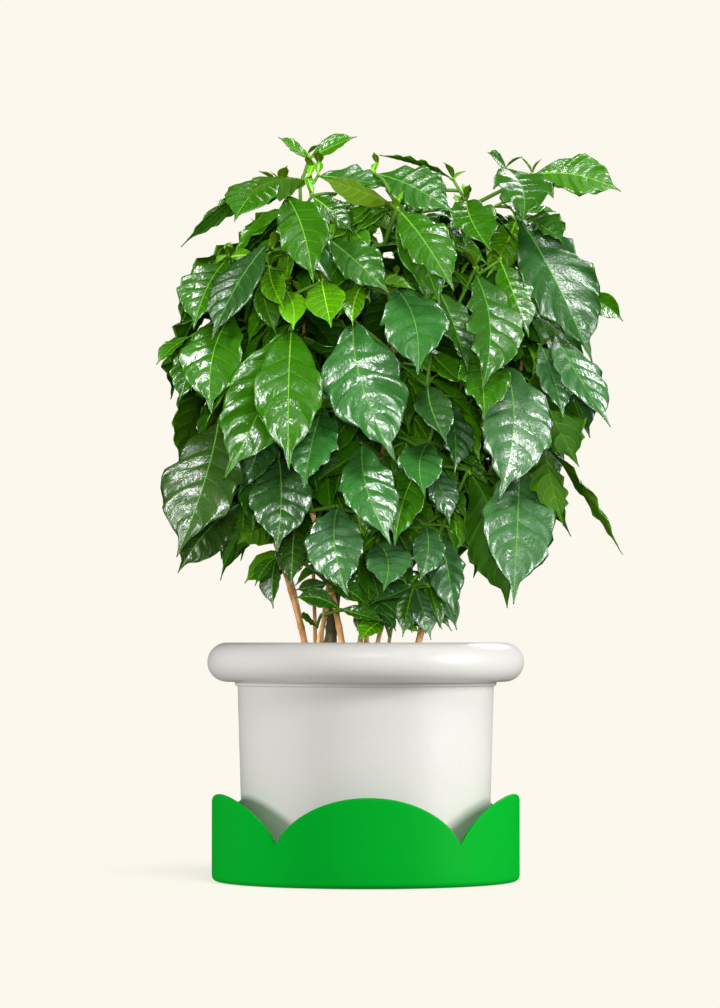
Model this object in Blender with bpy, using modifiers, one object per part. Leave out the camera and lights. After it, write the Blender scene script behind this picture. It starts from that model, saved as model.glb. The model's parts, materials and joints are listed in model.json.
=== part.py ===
"""Potted coffee plant: a clump of young coffee stems with drooping glossy leaves, in a white
glazed pot that stands in a green scalloped saucer. Metres, +Z up, the origin under the middle
of the saucer, and -Y is the side that the plant is seen from.

The stems are limbs that end where they enter a mass. Each mass is one stem that climbs on from
its limb, with twigs that branch from it and leaves at their ends, all fused into one body."""

import math
import random
from collections import namedtuple

import bmesh
import bpy
from mathutils import Vector
from mathutils.bvhtree import BVHTree

# Driving dimensions of the pot and its saucer
CLEARANCE = 0.0003
SAUCER_RADIUS = 0.1075
SAUCER_WALL = 0.0025
SAUCER_PEAK = 0.0615
SAUCER_DIP = 0.0275
SAUCER_EDGE = 0.004
PETALS = 5
PETAL_STEPS = 12
PETAL_TURN = math.radians(1.0)
PETAL_ROUND = 0.7
POT_HEIGHT = 0.1632
POT_RIM_RADIUS = 0.1107
POT_NECK_RADIUS = 0.0914
POT_BODY_RADIUS = 0.0896
POT_FOOT_RADIUS = 0.0858
POT_WALL = 0.007
POT_FLOOR = 0.008
POT_EDGE = 0.006
POT_STEPS = 40
RIM_DEPTH = 0.0273
RIM_SHELF = 0.092
NECK_DEPTH = 0.0028
DRAIN_RADIUS = 0.006
SOIL_BELOW_RIM = 0.016
SOIL_GAP = 0.0006

# Driving dimensions of the crown, whose middle stands a little to the right of the pot's
CROWN_X = 0.010
CROWN_HALF_WIDTH = 0.150
CROWN_HALF_DEPTH = 0.145
CROWN_TOP = 0.520
CROWN_MIDDLE = 0.335
CROWN_FOOT = 0.150
CROWN_ROUND = 2.2
CROWN_FULL_ABOVE = 0.6
CROWN_FULL_BELOW = 0.4
DRAWN_TOP = 0.478
DRAWN_FOOT = 0.205
FRONT_SHARE = 0.50
SHELL_FOOT = 0.285
SHELL_TOP = 0.458
SHELL_ROWS = 9
SHELL_SHARE = 0.48
SHELL_ARC = math.radians(125)
SHELL_SPACING = 0.034

# Driving dimensions of a leaf. A slender share is its width as a share of its length, a fold is
# how far its edges rise as a share of its half width, and a bow how far its midrib arches.
LEAF_LENGTH = 0.102
LEAF_LONGEST = 0.122
LEAF_SLENDER_YOUNG = 0.44
LEAF_SLENDER_OLD = 0.5
LEAF_THICK = 0.016
LEAF_BOW = 0.16
LEAF_BOW_AT = 0.45
LEAF_FOLD = 0.16
LEAF_STRETCHES = (0.24, 0.66)
LEAF_LIFTS = (0.0, 0.14, 0.28, 0.42)
LEAF_LEAN = 1.06
FACE_OUT = 0.85
FACE_UP = 0.45
FACE_ASIDE = 0.3
PETIOLE_SHARE = 0.09
PETIOLE_ARCH = 0.03
PETIOLE_RADIUS = 0.0006

# Driving dimensions of the stems and twigs, and of the room that they keep to each other
TWIG_RADIUS = 0.0018
TWIG_SIDES = 3
TWIG_STEPS = 2
TWIG_SAGS = (0.0, -0.25, 0.25)
STEM_END_RADIUS = 0.0014
STEM_SIDES = 5
STEM_STEPS = 4
STEM_START = 0.004
LIMB_STEP = 0.015
LIMB_ARCH = 0.17
LIMB_FLARE = 0.45
LIMB_FLARE_RISE = 1.6
UPRIGHT_FOOT = 0.0015
LEAF_ROOM = 0.001
TWIG_ROOM = 0.0006
LIMB_ROOM = 0.0008
PUSH = 0.003
PUSHES = 16
REACH_ABOVE = 0.03
RISE_LEAST = 0.004
FALL_COST = 0.03
STRAY_COST = 0.8
ROUTE_TRIES = 24
TOP_PAIRS = (3.35, 3.95)
SLIVER = 0.000002
HAIR = 0.00008
SEED = 11

# Sizes that follow from those
POT_FOOT_Z = SAUCER_WALL + CLEARANCE
RIM_TOP_Z = POT_FOOT_Z + POT_HEIGHT
SOIL_Z = RIM_TOP_Z - SOIL_BELOW_RIM
GROUND_Z = SOIL_Z + CLEARANCE
RIM_ROLL = RIM_DEPTH / 2

# Each limb: its foot on the soil, its tip where it enters its mass, its radius at both, and the
# mass with the point that the mass's own stem climbs to
Limb = namedtuple("Limb", "name foot tip radius tip_radius mass top")
LIMBS = (
    Limb("trunk", (-0.026, 0.004), (-0.012, 0.005, 0.270), 0.0043, 0.0030,
         "foliage_middle", (0.004, 0.000, 0.470)),
    Limb("stem_left", (-0.039, -0.012), (-0.075, -0.010, 0.265), 0.0022, 0.0017,
         "foliage_left", (-0.092, -0.012, 0.420)),
    Limb("stem_front", (-0.014, -0.030), (-0.039, -0.036, 0.262), 0.0022, 0.0017,
         "foliage_front_left", (-0.050, -0.055, 0.400)),
    Limb("stem_crossing", (-0.036, -0.040), (-0.002, -0.045, 0.260), 0.0016, 0.0014,
         "foliage_front", (0.016, -0.062, 0.405)),
    Limb("stem_middle", (-0.006, 0.014), (0.022, 0.020, 0.300), 0.0019, 0.0015,
         "foliage_top_right", (0.068, 0.010, 0.470)),
    Limb("stem_right", (0.005, -0.020), (0.044, -0.026, 0.280), 0.0016, 0.0013,
         "foliage_front_right", (0.078, -0.050, 0.420)),
    Limb("stem_far_right", (0.033, -0.004), (0.079, 0.000, 0.270), 0.0019, 0.0015,
         "foliage_right", (0.112, 0.004, 0.440)),
    Limb("stem_thin", (-0.035, 0.014), (-0.040, 0.012, 0.300), 0.0014, 0.0012,
         "foliage_top_left", (-0.046, -0.004, 0.485)),
    Limb("stem_back_left", (-0.040, 0.036), (-0.070, 0.058, 0.265), 0.0019, 0.0015,
         "foliage_back_left", (-0.078, 0.076, 0.430)),
    Limb("stem_back", (0.000, 0.046), (0.006, 0.074, 0.270), 0.0019, 0.0015,
         "foliage_back", (0.008, 0.086, 0.450)),
    Limb("stem_back_right", (0.034, 0.034), (0.066, 0.058, 0.268), 0.0019, 0.0015,
         "foliage_back_right", (0.086, 0.066, 0.435)),
    Limb("shoot_low_right", (0.014, -0.036), (0.016, -0.038, 0.166), 0.0014, 0.0012,
         "foliage_low_right", (0.024, -0.046, 0.206)),
    Limb("shoot_low_left", (-0.030, -0.056), (-0.030, -0.058, 0.162), 0.0012, 0.0011,
         "foliage_low_left", (-0.026, -0.058, 0.206)),
)

# The leaves that face the viewer, lowest first, by the node that a few of them share: its x and
# z, its age from 0 lime to 1 dark, and each leaf's tip x, tip z and width as seen. A narrow
# width is a blade that turns its edge, and a negative one shows its underside.
SHOWN = (
    (-0.034, 0.177, 0.20, ((-0.046, 0.184, 0.011),)),
    (0.013, 0.182, 0.05, ((-0.005, 0.167, 0.017),)),
    (-0.018, 0.189, 0.30, ((0.014, 0.180, 0.013), (-0.050, 0.197, 0.009))),
    (0.034, 0.206, 0.70, ((0.046, 0.168, 0.018), (0.003, 0.193, 0.012), (0.026, 0.170, 0.014))),
    (-0.026, 0.207, 0.60, ((-0.050, 0.203, 0.010), (0.000, 0.193, 0.010))),
    (0.008, 0.236, 0.55, ((0.012, 0.201, 0.034),)),
    (0.052, 0.243, 0.60, ((0.063, 0.184, 0.017),)),
    (0.042, 0.248, 0.60, ((0.037, 0.208, 0.026),)),
    (-0.062, 0.226, 0.70, ((-0.065, 0.190, 0.013), (-0.078, 0.206, 0.011))),
    (-0.050, 0.246, 0.60, ((-0.052, 0.205, 0.026), (-0.089, 0.233, -0.026))),
    (-0.020, 0.262, 0.90, ((-0.012, 0.197, 0.042), (-0.033, 0.220, 0.014))),
    (-0.086, 0.264, 0.85, ((-0.132, 0.215, 0.017), (-0.088, 0.238, 0.014))),
    (0.072, 0.287, 0.45, ((0.099, 0.190, -0.040),)),
    (0.040, 0.292, 0.40, ((0.059, 0.248, 0.022), (0.020, 0.232, 0.030))),
    (0.108, 0.292, 0.80, ((0.101, 0.192, 0.056),)),
    (-0.074, 0.290, 0.90, ((-0.079, 0.242, 0.020),)),
    (-0.061, 0.297, 0.80, ((-0.062, 0.228, 0.044),)),
    (-0.003, 0.306, 0.90, ((0.018, 0.232, 0.040),)),
    (0.044, 0.306, 0.95, ((0.041, 0.267, 0.034),)),
    (0.123, 0.306, 0.65, ((0.179, 0.227, 0.011), (0.137, 0.246, -0.020))),
    (-0.102, 0.323, 1.00, ((-0.131, 0.225, 0.060),)),
    (-0.070, 0.326, 0.90, ((-0.090, 0.268, 0.030),)),
    (-0.030, 0.331, 0.75, ((-0.043, 0.272, 0.042),)),
    (0.054, 0.338, 0.50, ((0.062, 0.284, 0.016),)),
    (0.043, 0.346, 0.95, ((0.057, 0.303, 0.028),)),
    (0.097, 0.360, 0.80, ((0.091, 0.262, 0.054), (0.141, 0.288, -0.050))),
    (0.046, 0.368, 0.70, ((0.073, 0.345, 0.020),)),
    (0.076, 0.372, 0.90, ((0.082, 0.320, 0.040),)),
    (0.132, 0.362, 0.85, ((0.158, 0.310, 0.020),)),
    (0.130, 0.380, 0.85, ((0.169, 0.313, 0.034),)),
    (-0.121, 0.381, 0.80, ((-0.148, 0.362, 0.009), (-0.132, 0.335, 0.022))),
    (-0.052, 0.387, 0.70, ((-0.099, 0.278, 0.036), (-0.053, 0.284, 0.050))),
    (-0.010, 0.393, 0.95, ((0.021, 0.291, 0.058),)),
    (-0.092, 0.399, 0.55, ((-0.107, 0.324, 0.046),)),
    (0.150, 0.409, 0.60, ((0.182, 0.393, 0.009),)),
    (0.051, 0.411, 0.75, ((0.071, 0.354, 0.024),)),
    (0.021, 0.415, 0.90, ((0.036, 0.350, 0.050),)),
    (-0.056, 0.413, 0.08, ((-0.051, 0.385, 0.020),)),
    (-0.002, 0.417, 0.05, ((-0.009, 0.389, 0.016), (0.035, 0.415, 0.010))),
    (-0.031, 0.419, 0.05, ((-0.024, 0.385, 0.029),)),
    (0.076, 0.427, 1.00, ((0.080, 0.340, 0.035),)),
    (-0.073, 0.420, 0.05, ((-0.063, 0.383, 0.016),)),
    (-0.068, 0.428, 0.05, ((-0.057, 0.400, 0.020),)),
    (0.094, 0.434, 0.25, ((0.115, 0.380, 0.030), (0.126, 0.352, 0.030))),
    (-0.096, 0.436, 0.75, ((-0.120, 0.384, 0.038), (-0.105, 0.433, 0.006), (-0.078, 0.440, 0.006))),
    (-0.066, 0.441, 0.95, ((-0.106, 0.372, 0.032),)),
    (-0.026, 0.448, 0.70, ((0.017, 0.410, 0.034),)),
    (0.106, 0.463, 0.80, ((0.139, 0.445, 0.026), (0.158, 0.360, 0.058), (0.085, 0.423, 0.024))),
    (0.022, 0.467, 0.85, ((0.052, 0.400, 0.034), (0.061, 0.408, 0.038))),
    (0.112, 0.468, 0.60, ((0.135, 0.471, 0.008),)),
    (0.070, 0.476, 0.70, ((0.088, 0.438, 0.034), (0.074, 0.485, 0.005))),
    (-0.056, 0.478, 0.85, ((-0.024, 0.418, 0.030), (-0.036, 0.413, 0.038))),
    (-0.038, 0.479, 0.50, ((-0.008, 0.455, 0.012),)),
    (-0.058, 0.484, 0.80, ((-0.089, 0.450, 0.036),)),
    (-0.062, 0.487, 0.70, ((-0.130, 0.444, 0.011),)),
    (-0.040, 0.490, 0.60, ((-0.088, 0.470, -0.034), (-0.057, 0.484, 0.009))),
    (0.062, 0.490, 0.50, ((0.009, 0.510, 0.010),)),
    (-0.034, 0.493, 0.80, ((0.020, 0.486, 0.022),)),
    (0.020, 0.470, 0.15, ((-0.035, 0.494, -0.026),)),
    (0.006, 0.494, 0.85, ((0.062, 0.466, 0.036),)),
    (0.116, 0.494, 0.85, ((0.180, 0.484, 0.025),)),
    (0.099, 0.498, 0.75, ((0.108, 0.456, 0.046), (0.086, 0.512, 0.013))),
    (-0.040, 0.503, 0.55, ((-0.061, 0.522, 0.006), (-0.006, 0.521, 0.012))),
)

UP = Vector((0, 0, 1))
Skin = namedtuple("Skin", "tree low high kind mass")
Leaf = namedtuple("Leaf", "root base tip facing width turn")
Mass = namedtuple("Mass", "name top stem network parts")


def clear_scene():
    for thing in list(bpy.data.objects):
        bpy.data.objects.remove(thing, do_unlink=True)


def new_collection(name):
    collection = bpy.data.collections.new(name)
    bpy.context.scene.collection.children.link(collection)
    return collection


def make_material(name, colour, roughness):
    material = bpy.data.materials.new(name)
    material.use_nodes = True
    shader = material.node_tree.nodes["Principled BSDF"]
    shader.inputs["Base Color"].default_value = (*colour, 1.0)
    shader.inputs["Roughness"].default_value = roughness
    return material


def add_object(name, data, collection, material=None):
    thing = bpy.data.objects.new(name, data)
    if material:
        data.materials.append(material)
    collection.objects.link(thing)
    return thing


# Solids from rings of points

def loft(rings):
    """Points and triangles of a closed solid through rings; the last ring may be one point."""
    count = len(rings[0])
    points = [point for ring in rings for point in ring]
    faces = [(0, index, index + 1) for index in range(1, count - 1)]
    start = 0
    for ring, following in zip(rings, rings[1:]):
        upper = start + len(ring)
        for index in range(count):
            after = (index + 1) % count
            if len(following) == 1:
                faces.append((start + after, start + index, upper))
            else:
                faces.append((start + after, start + index, upper + index))
                faces.append((start + after, upper + index, upper + after))
        start = upper
    if len(rings[-1]) == count:
        faces.extend((start, start + index + 1, start + index) for index in range(1, count - 1))
    return points, faces


def tube_rings(points, radii, sides, phase=0.0):
    """Rings of a tapering tube along some points, carried on without a twist."""
    rings = []
    side = None
    for index, point in enumerate(points):
        before = points[max(index - 1, 0)]
        after = points[min(index + 1, len(points) - 1)]
        along = (after - before).normalized()
        side = along.orthogonal() if side is None else side - along * side.dot(along)
        side.normalize()
        across = along.cross(side)
        angles = (phase + math.tau * step / sides for step in range(sides))
        rings.append([point + (side * math.cos(angle) + across * math.sin(angle)) * radii[index]
                      for angle in angles])
    return rings


def solid_mesh(name, rings):
    points, faces = loft(rings)
    mesh = bpy.data.meshes.new(name)
    mesh.from_pydata(points, [], faces)
    shell = bmesh.new()
    shell.from_mesh(mesh)
    bmesh.ops.recalc_face_normals(shell, faces=shell.faces)
    shell.to_mesh(mesh)
    shell.free()
    return mesh


def quadratic(start, control, end, t):
    return start * (1 - t) ** 2 + control * (2 * t * (1 - t)) + end * t ** 2


def mix(start, end, share):
    return start + (end - start) * share


# The space that each thing takes

def make_skin(rings, kind, mass):
    points, faces = loft(rings)
    low = tuple(min(point[axis] for point in points) for axis in range(3))
    high = tuple(max(point[axis] for point in points) for axis in range(3))
    return Skin(BVHTree.FromPolygons(points, faces), low, high, kind, mass)


def boxes_meet(one, other):
    return all(one.low[axis] <= other.high[axis] and other.low[axis] <= one.high[axis]
               for axis in range(3))


def touches(skin, placed, ignore):
    """True where a skin meets anything placed before that the rule doesn't let it ignore."""
    return any(boxes_meet(skin, other) and not ignore(other) and skin.tree.overlap(other.tree)
               for other in placed)


def crown_share(z):
    """How full the crown is at a height, from almost 0 at its ends to 1 at its middle."""
    above = z > CROWN_MIDDLE
    reach = (CROWN_TOP if above else CROWN_FOOT) - CROWN_MIDDLE
    from_middle = min((z - CROWN_MIDDLE) / reach, 0.999)
    return (1 - from_middle ** CROWN_ROUND) ** (CROWN_FULL_ABOVE if above else CROWN_FULL_BELOW)


def depth_at(x, z):
    """How far the crown reaches forward or back at a place seen from the front."""
    share = crown_share(z)
    across = min(abs(x - CROWN_X) / (CROWN_HALF_WIDTH * share), 1.0)
    return CROWN_HALF_DEPTH * share * math.sqrt(1 - across ** 2)


def in_drawn_space(point):
    """Inside the crown, behind the leaves that face the viewer, above the bare stems."""
    if not DRAWN_FOOT < point.z < DRAWN_TOP:
        return False
    share = crown_share(point.z)
    across = (point.x - CROWN_X) / (CROWN_HALF_WIDTH * share)
    deep = point.y / (CROWN_HALF_DEPTH * share)
    behind = point.y > -FRONT_SHARE * depth_at(point.x, point.z)
    return behind and across ** 2 + deep ** 2 < 1


# Leaves

def leaf_frame(leaf, t):
    """A point on the midrib, the way across the blade there and its upper normal."""
    length = (leaf.tip - leaf.base).length
    control = leaf.base.lerp(leaf.tip, LEAF_BOW_AT) + leaf.facing * length * LEAF_BOW
    point = quadratic(leaf.base, control, leaf.tip, t)
    along = (control - leaf.base).lerp(leaf.tip - control, t).normalized()
    side = along.cross(leaf.facing).normalized()
    normal = side.cross(along)
    turned = side * math.cos(leaf.turn) + normal * math.sin(leaf.turn)
    return point, turned, turned.cross(along)


def half_width(leaf, t):
    """Widest a little before the middle, and drawn out to the tip."""
    return leaf.width / 2 * math.sin(math.pi * t ** 0.8) ** 0.75


def leaf_ring(leaf, t, room):
    """Left edge, upper midrib, right edge and lower midrib."""
    point, side, normal = leaf_frame(leaf, t)
    half = half_width(leaf, t)
    thick = (leaf.tip - leaf.base).length * LEAF_THICK / 2 + room
    edge = normal * half * LEAF_FOLD
    return [point - side * (half + room) + edge, point + normal * thick,
            point + side * (half + room) + edge, point - normal * thick]


def blade_rings(leaf, room=0.0):
    return [leaf_ring(leaf, t, room) for t in LEAF_STRETCHES] + [[leaf.tip]]


def leaf_rings(leaf, room=0.0):
    """The blade, and its stalk down to the root in the twig."""
    point, side, normal = leaf_frame(leaf, 0.0)
    radius = PETIOLE_RADIUS + room / 2
    root = [leaf.root - side * radius, leaf.root + normal * radius,
            leaf.root + side * radius, leaf.root - normal * radius]
    return [root] + blade_rings(leaf, room)


def grow_leaf(node, tip, facing, width, turn):
    reach = tip - node
    base = node + reach * PETIOLE_SHARE + UP * PETIOLE_ARCH * reach.length
    return Leaf(node, base, tip, facing.normalized(), width, turn)


def hung_leaf(node, view, age, across, rise, seen_width, lift, bias):
    """A leaf by how it looks from the side that the view points to. Where it looks short for
    its width it points at the viewer, and where it looks narrow it turns its edge."""
    seen = math.hypot(across, rise)
    width = abs(seen_width)
    slender = mix(LEAF_SLENDER_YOUNG, LEAF_SLENDER_OLD, age)
    length = min(max(width / slender, LEAF_LEAN * seen), LEAF_LONGEST)
    out = math.sqrt(max(length ** 2 - seen ** 2, 0)) + lift * seen
    sideways = Vector((-view.y, view.x, 0))
    tip = node + sideways * across + UP * rise + view * out
    turn = math.acos(min(width / (slender * length), 1.0)) * bias
    if seen_width < 0:
        turn += math.pi
    aside = sideways.dot(node - Vector((CROWN_X, 0, 0))) / CROWN_HALF_WIDTH
    facing = view * FACE_OUT + UP * FACE_UP + sideways * FACE_ASIDE * aside
    return grow_leaf(node, tip, facing, max(width, slender * length), turn)


def spread_leaf(node, bearing, droop, length, turn):
    """A leaf that reaches out along a bearing and hangs by its droop."""
    out = Vector((math.cos(bearing), math.sin(bearing), 0))
    tip = node + (out * math.cos(droop) - UP * math.sin(droop)) * length
    facing = UP * math.cos(droop) + out * math.sin(droop)
    return grow_leaf(node, tip, facing, length * LEAF_SLENDER_OLD, turn)


# Limbs

def limb_path(limb):
    """Points of a limb from its flat cut at the ground, where it stands upright, to its tip."""
    foot = Vector((*limb.foot, GROUND_Z))
    tip = Vector(limb.tip)
    upright = foot + UP * UPRIGHT_FOOT
    length = (tip - upright).length
    control = foot.lerp(tip, 0.5) + UP * LIMB_ARCH * length
    count = max(round(length / LIMB_STEP), 2)
    return [foot] + [quadratic(upright, control, tip, step / count) for step in range(count + 1)]


def limb_radii(limb, points):
    """An even taper, with a flare where the limb meets the ground."""
    rise = points[-1].z - points[0].z
    radii = []
    for point in points:
        height = point.z - points[0].z
        flare = 1 + LIMB_FLARE * math.exp(-height / (LIMB_FLARE_RISE * limb.radius))
        radii.append(mix(limb.radius, limb.tip_radius, height / rise) * flare)
    return radii


def make_limb(limb, collection, material):
    points = limb_path(limb)
    curve = bpy.data.curves.new(limb.name, "CURVE")
    curve.dimensions = "3D"
    curve.bevel_depth = 1.0
    curve.bevel_resolution = 1
    curve.use_fill_caps = True
    spline = curve.splines.new("POLY")
    spline.points.add(len(points) - 1)
    for spot, point, radius in zip(spline.points, points, limb_radii(limb, points)):
        spot.co = (*point, 1.0)
        spot.radius = radius
    add_object(limb.name, curve, collection, material)


# Stems and twigs of the masses

def stem_path(limb):
    """A mass's own stem, on from its limb's tip and a clearance away from it."""
    points = limb_path(limb)
    along = (points[-1] - points[-2]).normalized()
    start = points[-1] + along * CLEARANCE
    straight = start + along * STEM_START
    top = Vector(limb.top)
    control = straight + along * (top - straight).length * LEAF_BOW_AT
    return [start] + [quadratic(straight, control, top, step / STEM_STEPS)
                      for step in range(STEM_STEPS + 1)]


def twig_path(start, end, sag):
    control = start.lerp(end, 0.5) + UP * sag * (end - start).length
    return [quadratic(start, control, end, step / TWIG_STEPS) for step in range(TWIG_STEPS + 1)]


def twig_skin(points, mass_name):
    """The space of a twig, but for the stretch inside the limb that it grows on."""
    free = [points[0].lerp(points[1], 0.2)] + points[1:]
    return make_skin(tube_rings(free, [TWIG_RADIUS + TWIG_ROOM] * len(free), TWIG_SIDES),
                     "twig", mass_name)


def add_tube(mass, points, radii, sides, placed):
    mass.parts.append(tube_rings(points, radii, sides, phase=0.7 * len(mass.parts)))
    roomy = [radius + TWIG_ROOM for radius in radii]
    placed.append(make_skin(tube_rings(points, roomy, sides), "twig", mass.name))


def add_twig(mass, points, placed):
    """A twig that is pinched where it leaves its parent and runs a little past its last node."""
    past = points[-1] + (points[-1] - points[-2]).normalized() * TWIG_RADIUS * 0.6
    radii = [TWIG_RADIUS * 0.5] + [TWIG_RADIUS] * (len(points) - 1)
    add_tube(mass, points[:-1] + [past], radii, TWIG_SIDES, placed)
    mass.network.extend(points[1:])


def leaf_skins(leaf, mass_name):
    whole = make_skin(leaf_rings(leaf, LEAF_ROOM), "leaf", mass_name)
    return whole, make_skin(blade_rings(leaf, LEAF_ROOM), "blade", mass_name)


def add_leaves(mass, leaves, placed):
    for leaf in leaves:
        mass.parts.append(leaf_rings(leaf))
        placed.extend(leaf_skins(leaf, mass.name))


def start_masses(placed):
    """The limbs take their space, and each mass gets the stem that climbs on from its limb."""
    masses = []
    for limb in LIMBS:
        points = limb_path(limb)
        roomy = [radius + LIMB_ROOM for radius in limb_radii(limb, points)]
        placed.append(make_skin(tube_rings(points, roomy, 6), "limb", None))
        path = stem_path(limb)
        mass = Mass(limb.mass, limb.top[2], path[1:], list(path[1:]), [])
        end = min(limb.tip_radius, STEM_END_RADIUS)
        radii = [mix(limb.tip_radius, end, step / (len(path) - 1)) for step in range(len(path))]
        add_tube(mass, path, radii, STEM_SIDES, placed)
        masses.append(mass)
    return masses


# Growth

def fit_leaf(options, siblings, placed, mass_name=None):
    """The first of some ways to hold a leaf that touches nothing but the twig it grows on."""
    def ignored_by_leaf(other):
        return other.kind == "blade" or other.mass == mass_name and other.kind == "twig"

    def ignored_by_blade(other):
        return other.kind != "twig" or other.mass != mass_name

    for leaf in options:
        whole, blade = leaf_skins(leaf, mass_name)
        if touches(whole, placed, ignored_by_leaf) or touches(blade, placed, ignored_by_blade):
            continue
        if not any(blade.tree.overlap(sibling.tree) for sibling in siblings):
            return leaf, blade
    return None


def place_leaves(spot, view, age, tips, index, placed, allowed):
    """The leaves of one node, which moves toward the viewer until they lie over the leaves
    below them."""
    best = []
    for push in range(PUSHES):
        node = spot + view * PUSH * push
        leaves = []
        siblings = []
        for order, (across, rise, width) in enumerate(tips):
            bias = 1 if (index + order) % 2 else -1
            options = [hung_leaf(node, view, age, across, rise, width, lift, side)
                       for lift in LEAF_LIFTS for side in (bias, -bias)]
            found = fit_leaf(filter(allowed, options), siblings, placed)
            if found:
                leaves.append(found[0])
                siblings.append(found[1])
        if len(leaves) > len(best):
            best = leaves
        if len(leaves) == len(tips):
            break
    return best


def route_twig(node, masses, placed):
    """A twig to a node from the nearest place on a mass that it can reach without a touch."""
    ways = []
    for mass in masses:
        if node.z > mass.top + REACH_ABOVE:
            continue
        stray = min((node - point).length for point in mass.stem)
        for start in mass.network:
            rise = node.z - start.z
            fall = FALL_COST - rise if rise < RISE_LEAST else 0.0
            ways.append(((node - start).length + STRAY_COST * stray + fall, start, mass))
    ways.sort(key=lambda way: way[0])
    for leaves_block in (True, False):
        for cost, start, mass in ways[:ROUTE_TRIES]:
            def ignored(other, name=mass.name):
                own = other.mass == name
                return other.kind == "blade" or own and (other.kind == "twig" or not leaves_block)

            for sag in TWIG_SAGS:
                points = twig_path(start, node, sag)
                if not touches(twig_skin(points, mass.name), placed, ignored):
                    return mass, points
    return None


def grow_node(masses, placed, spot, view, age, tips, index, allowed):
    """A twig with a few leaves at its end."""
    leaves = place_leaves(spot, view, age, tips, index, placed, allowed)
    found = leaves and route_twig(leaves[0].root, masses, placed)
    if found:
        mass, points = found
        add_twig(mass, points, placed)
        add_leaves(mass, leaves, placed)


def grow_shown(masses, placed):
    """The nodes that face the viewer, lowest first, so that each lies over those below."""
    view = Vector((0, -1, 0))
    for index, (x, z, age, tips) in enumerate(SHOWN):
        spot = Vector((x, -FRONT_SHARE * depth_at(x, z), z))
        moves = [(tip_x - x, tip_z - z, width) for tip_x, tip_z, width in tips]
        grow_node(masses, placed, spot, view, age, moves, index, lambda leaf: True)


def in_space(leaf):
    return all(in_drawn_space(point) for point in (leaf.root, leaf_frame(leaf, 0.6)[0], leaf.tip))


def draw_tip(draw, z, height, way):
    """How far a drawn leaf's tip lies aside of its node and below it, and its width as seen."""
    length = LEAF_LENGTH * draw.uniform(0.75, 1.0)
    least = math.acos(min((z - DRAWN_FOOT - 0.012) / length, 1.0))
    slant = way * max(math.radians(draw.uniform(8, 48) + 15 * height), least)
    face = LEAF_SLENDER_OLD * draw.choice((1.0, 0.95, 0.8, 0.45))
    return length * math.sin(slant), -length * math.cos(slant), length * face


def grow_shell(masses, placed):
    """Nodes round the sides and the back of the crown, in rows from its foot to its top."""
    draw = random.Random(SEED)
    for row in range(SHELL_ROWS):
        height = row / (SHELL_ROWS - 1)
        z = mix(SHELL_FOOT, SHELL_TOP, height)
        reach = crown_share(z) * SHELL_SHARE
        arc_length = SHELL_ARC * reach * (CROWN_HALF_WIDTH + CROWN_HALF_DEPTH)
        count = round(arc_length / SHELL_SPACING)
        for step in range(count):
            share = (step + 0.5 * (row % 2) + 0.25 + draw.uniform(-0.2, 0.2)) / count
            bearing = math.pi / 2 + SHELL_ARC * (2 * share - 1)
            out = Vector((math.cos(bearing), math.sin(bearing), 0))
            spot = Vector((CROWN_X + reach * CROWN_HALF_WIDTH * out.x,
                           reach * CROWN_HALF_DEPTH * out.y, z + draw.uniform(-0.008, 0.008)))
            tips = [draw_tip(draw, z, height, way) for way in (1, -1)]
            age = min(max(1.0 - 0.4 * height + draw.uniform(-0.3, 0.1), 0.3), 1.0)
            grow_node(masses, placed, spot, out, age, tips, step, in_space)


def grow_pair(mass, node, bearing, draw, placed):
    """Two opposite leaves on a stem, each held in the first way that keeps to its space."""
    height = (node.z - DRAWN_FOOT) / (DRAWN_TOP - DRAWN_FOOT)
    leaves = []
    siblings = []
    for half_turn in (0, math.pi):
        droop = math.radians(74 - 48 * height + draw.uniform(-8, 8))
        length = LEAF_LENGTH * draw.uniform(0.86, 1.06) * (1 - 0.25 * max(height - 0.6, 0))
        toward = bearing + half_turn + draw.uniform(-0.25, 0.25)
        turn = draw.uniform(-0.35, 0.35)
        options = [spread_leaf(node, toward + swing, droop - lift, length * size, turn)
                   for size in (1.0, 0.85, 0.7) for lift in (0.0, 0.3, -0.3, 0.6, 0.9)
                   for swing in (0.0, 0.35, -0.35, 0.7, -0.7)]
        found = fit_leaf(filter(in_space, options), siblings, placed, mass.name)
        if found:
            leaves.append(found[0])
            siblings.append(found[1])
    add_leaves(mass, leaves, placed)


def grow_tops(masses, placed):
    """Pairs near the top of each stem, each pair a quarter turn on from the last."""
    draw = random.Random(SEED + 1)
    for mass in masses:
        bearing = draw.uniform(0, math.pi)
        for t in TOP_PAIRS:
            bearing += math.pi / 2 + draw.uniform(-0.3, 0.3)
            node = mass.stem[int(t)].lerp(mass.stem[int(t) + 1], t - int(t))
            if node.z > DRAWN_FOOT:
                grow_pair(mass, node, bearing, draw, placed)


# Joining each mass

def union_of(stem, pieces, solver):
    """The stem's mesh fused with every piece in a collection, by one Boolean union."""
    union = stem.modifiers.new("union", "BOOLEAN")
    union.operation = "UNION"
    union.operand_type = "COLLECTION"
    union.collection = pieces
    union.solver = solver
    graph = bpy.context.evaluated_depsgraph_get()
    joined = bpy.data.meshes.new_from_object(stem.evaluated_get(graph))
    stem.modifiers.clear()
    return joined


def bodies_of(shell):
    """The faces of a mesh, in the groups that hang together, smallest first."""
    unseen = set(shell.faces)
    bodies = []
    while unseen:
        queue = [unseen.pop()]
        body = []
        while queue:
            face = queue.pop()
            body.append(face)
            for near in (near for edge in face.edges for near in edge.link_faces):
                if near in unseen:
                    unseen.remove(near)
                    queue.append(near)
        bodies.append(body)
    return sorted(bodies, key=len)


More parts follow.
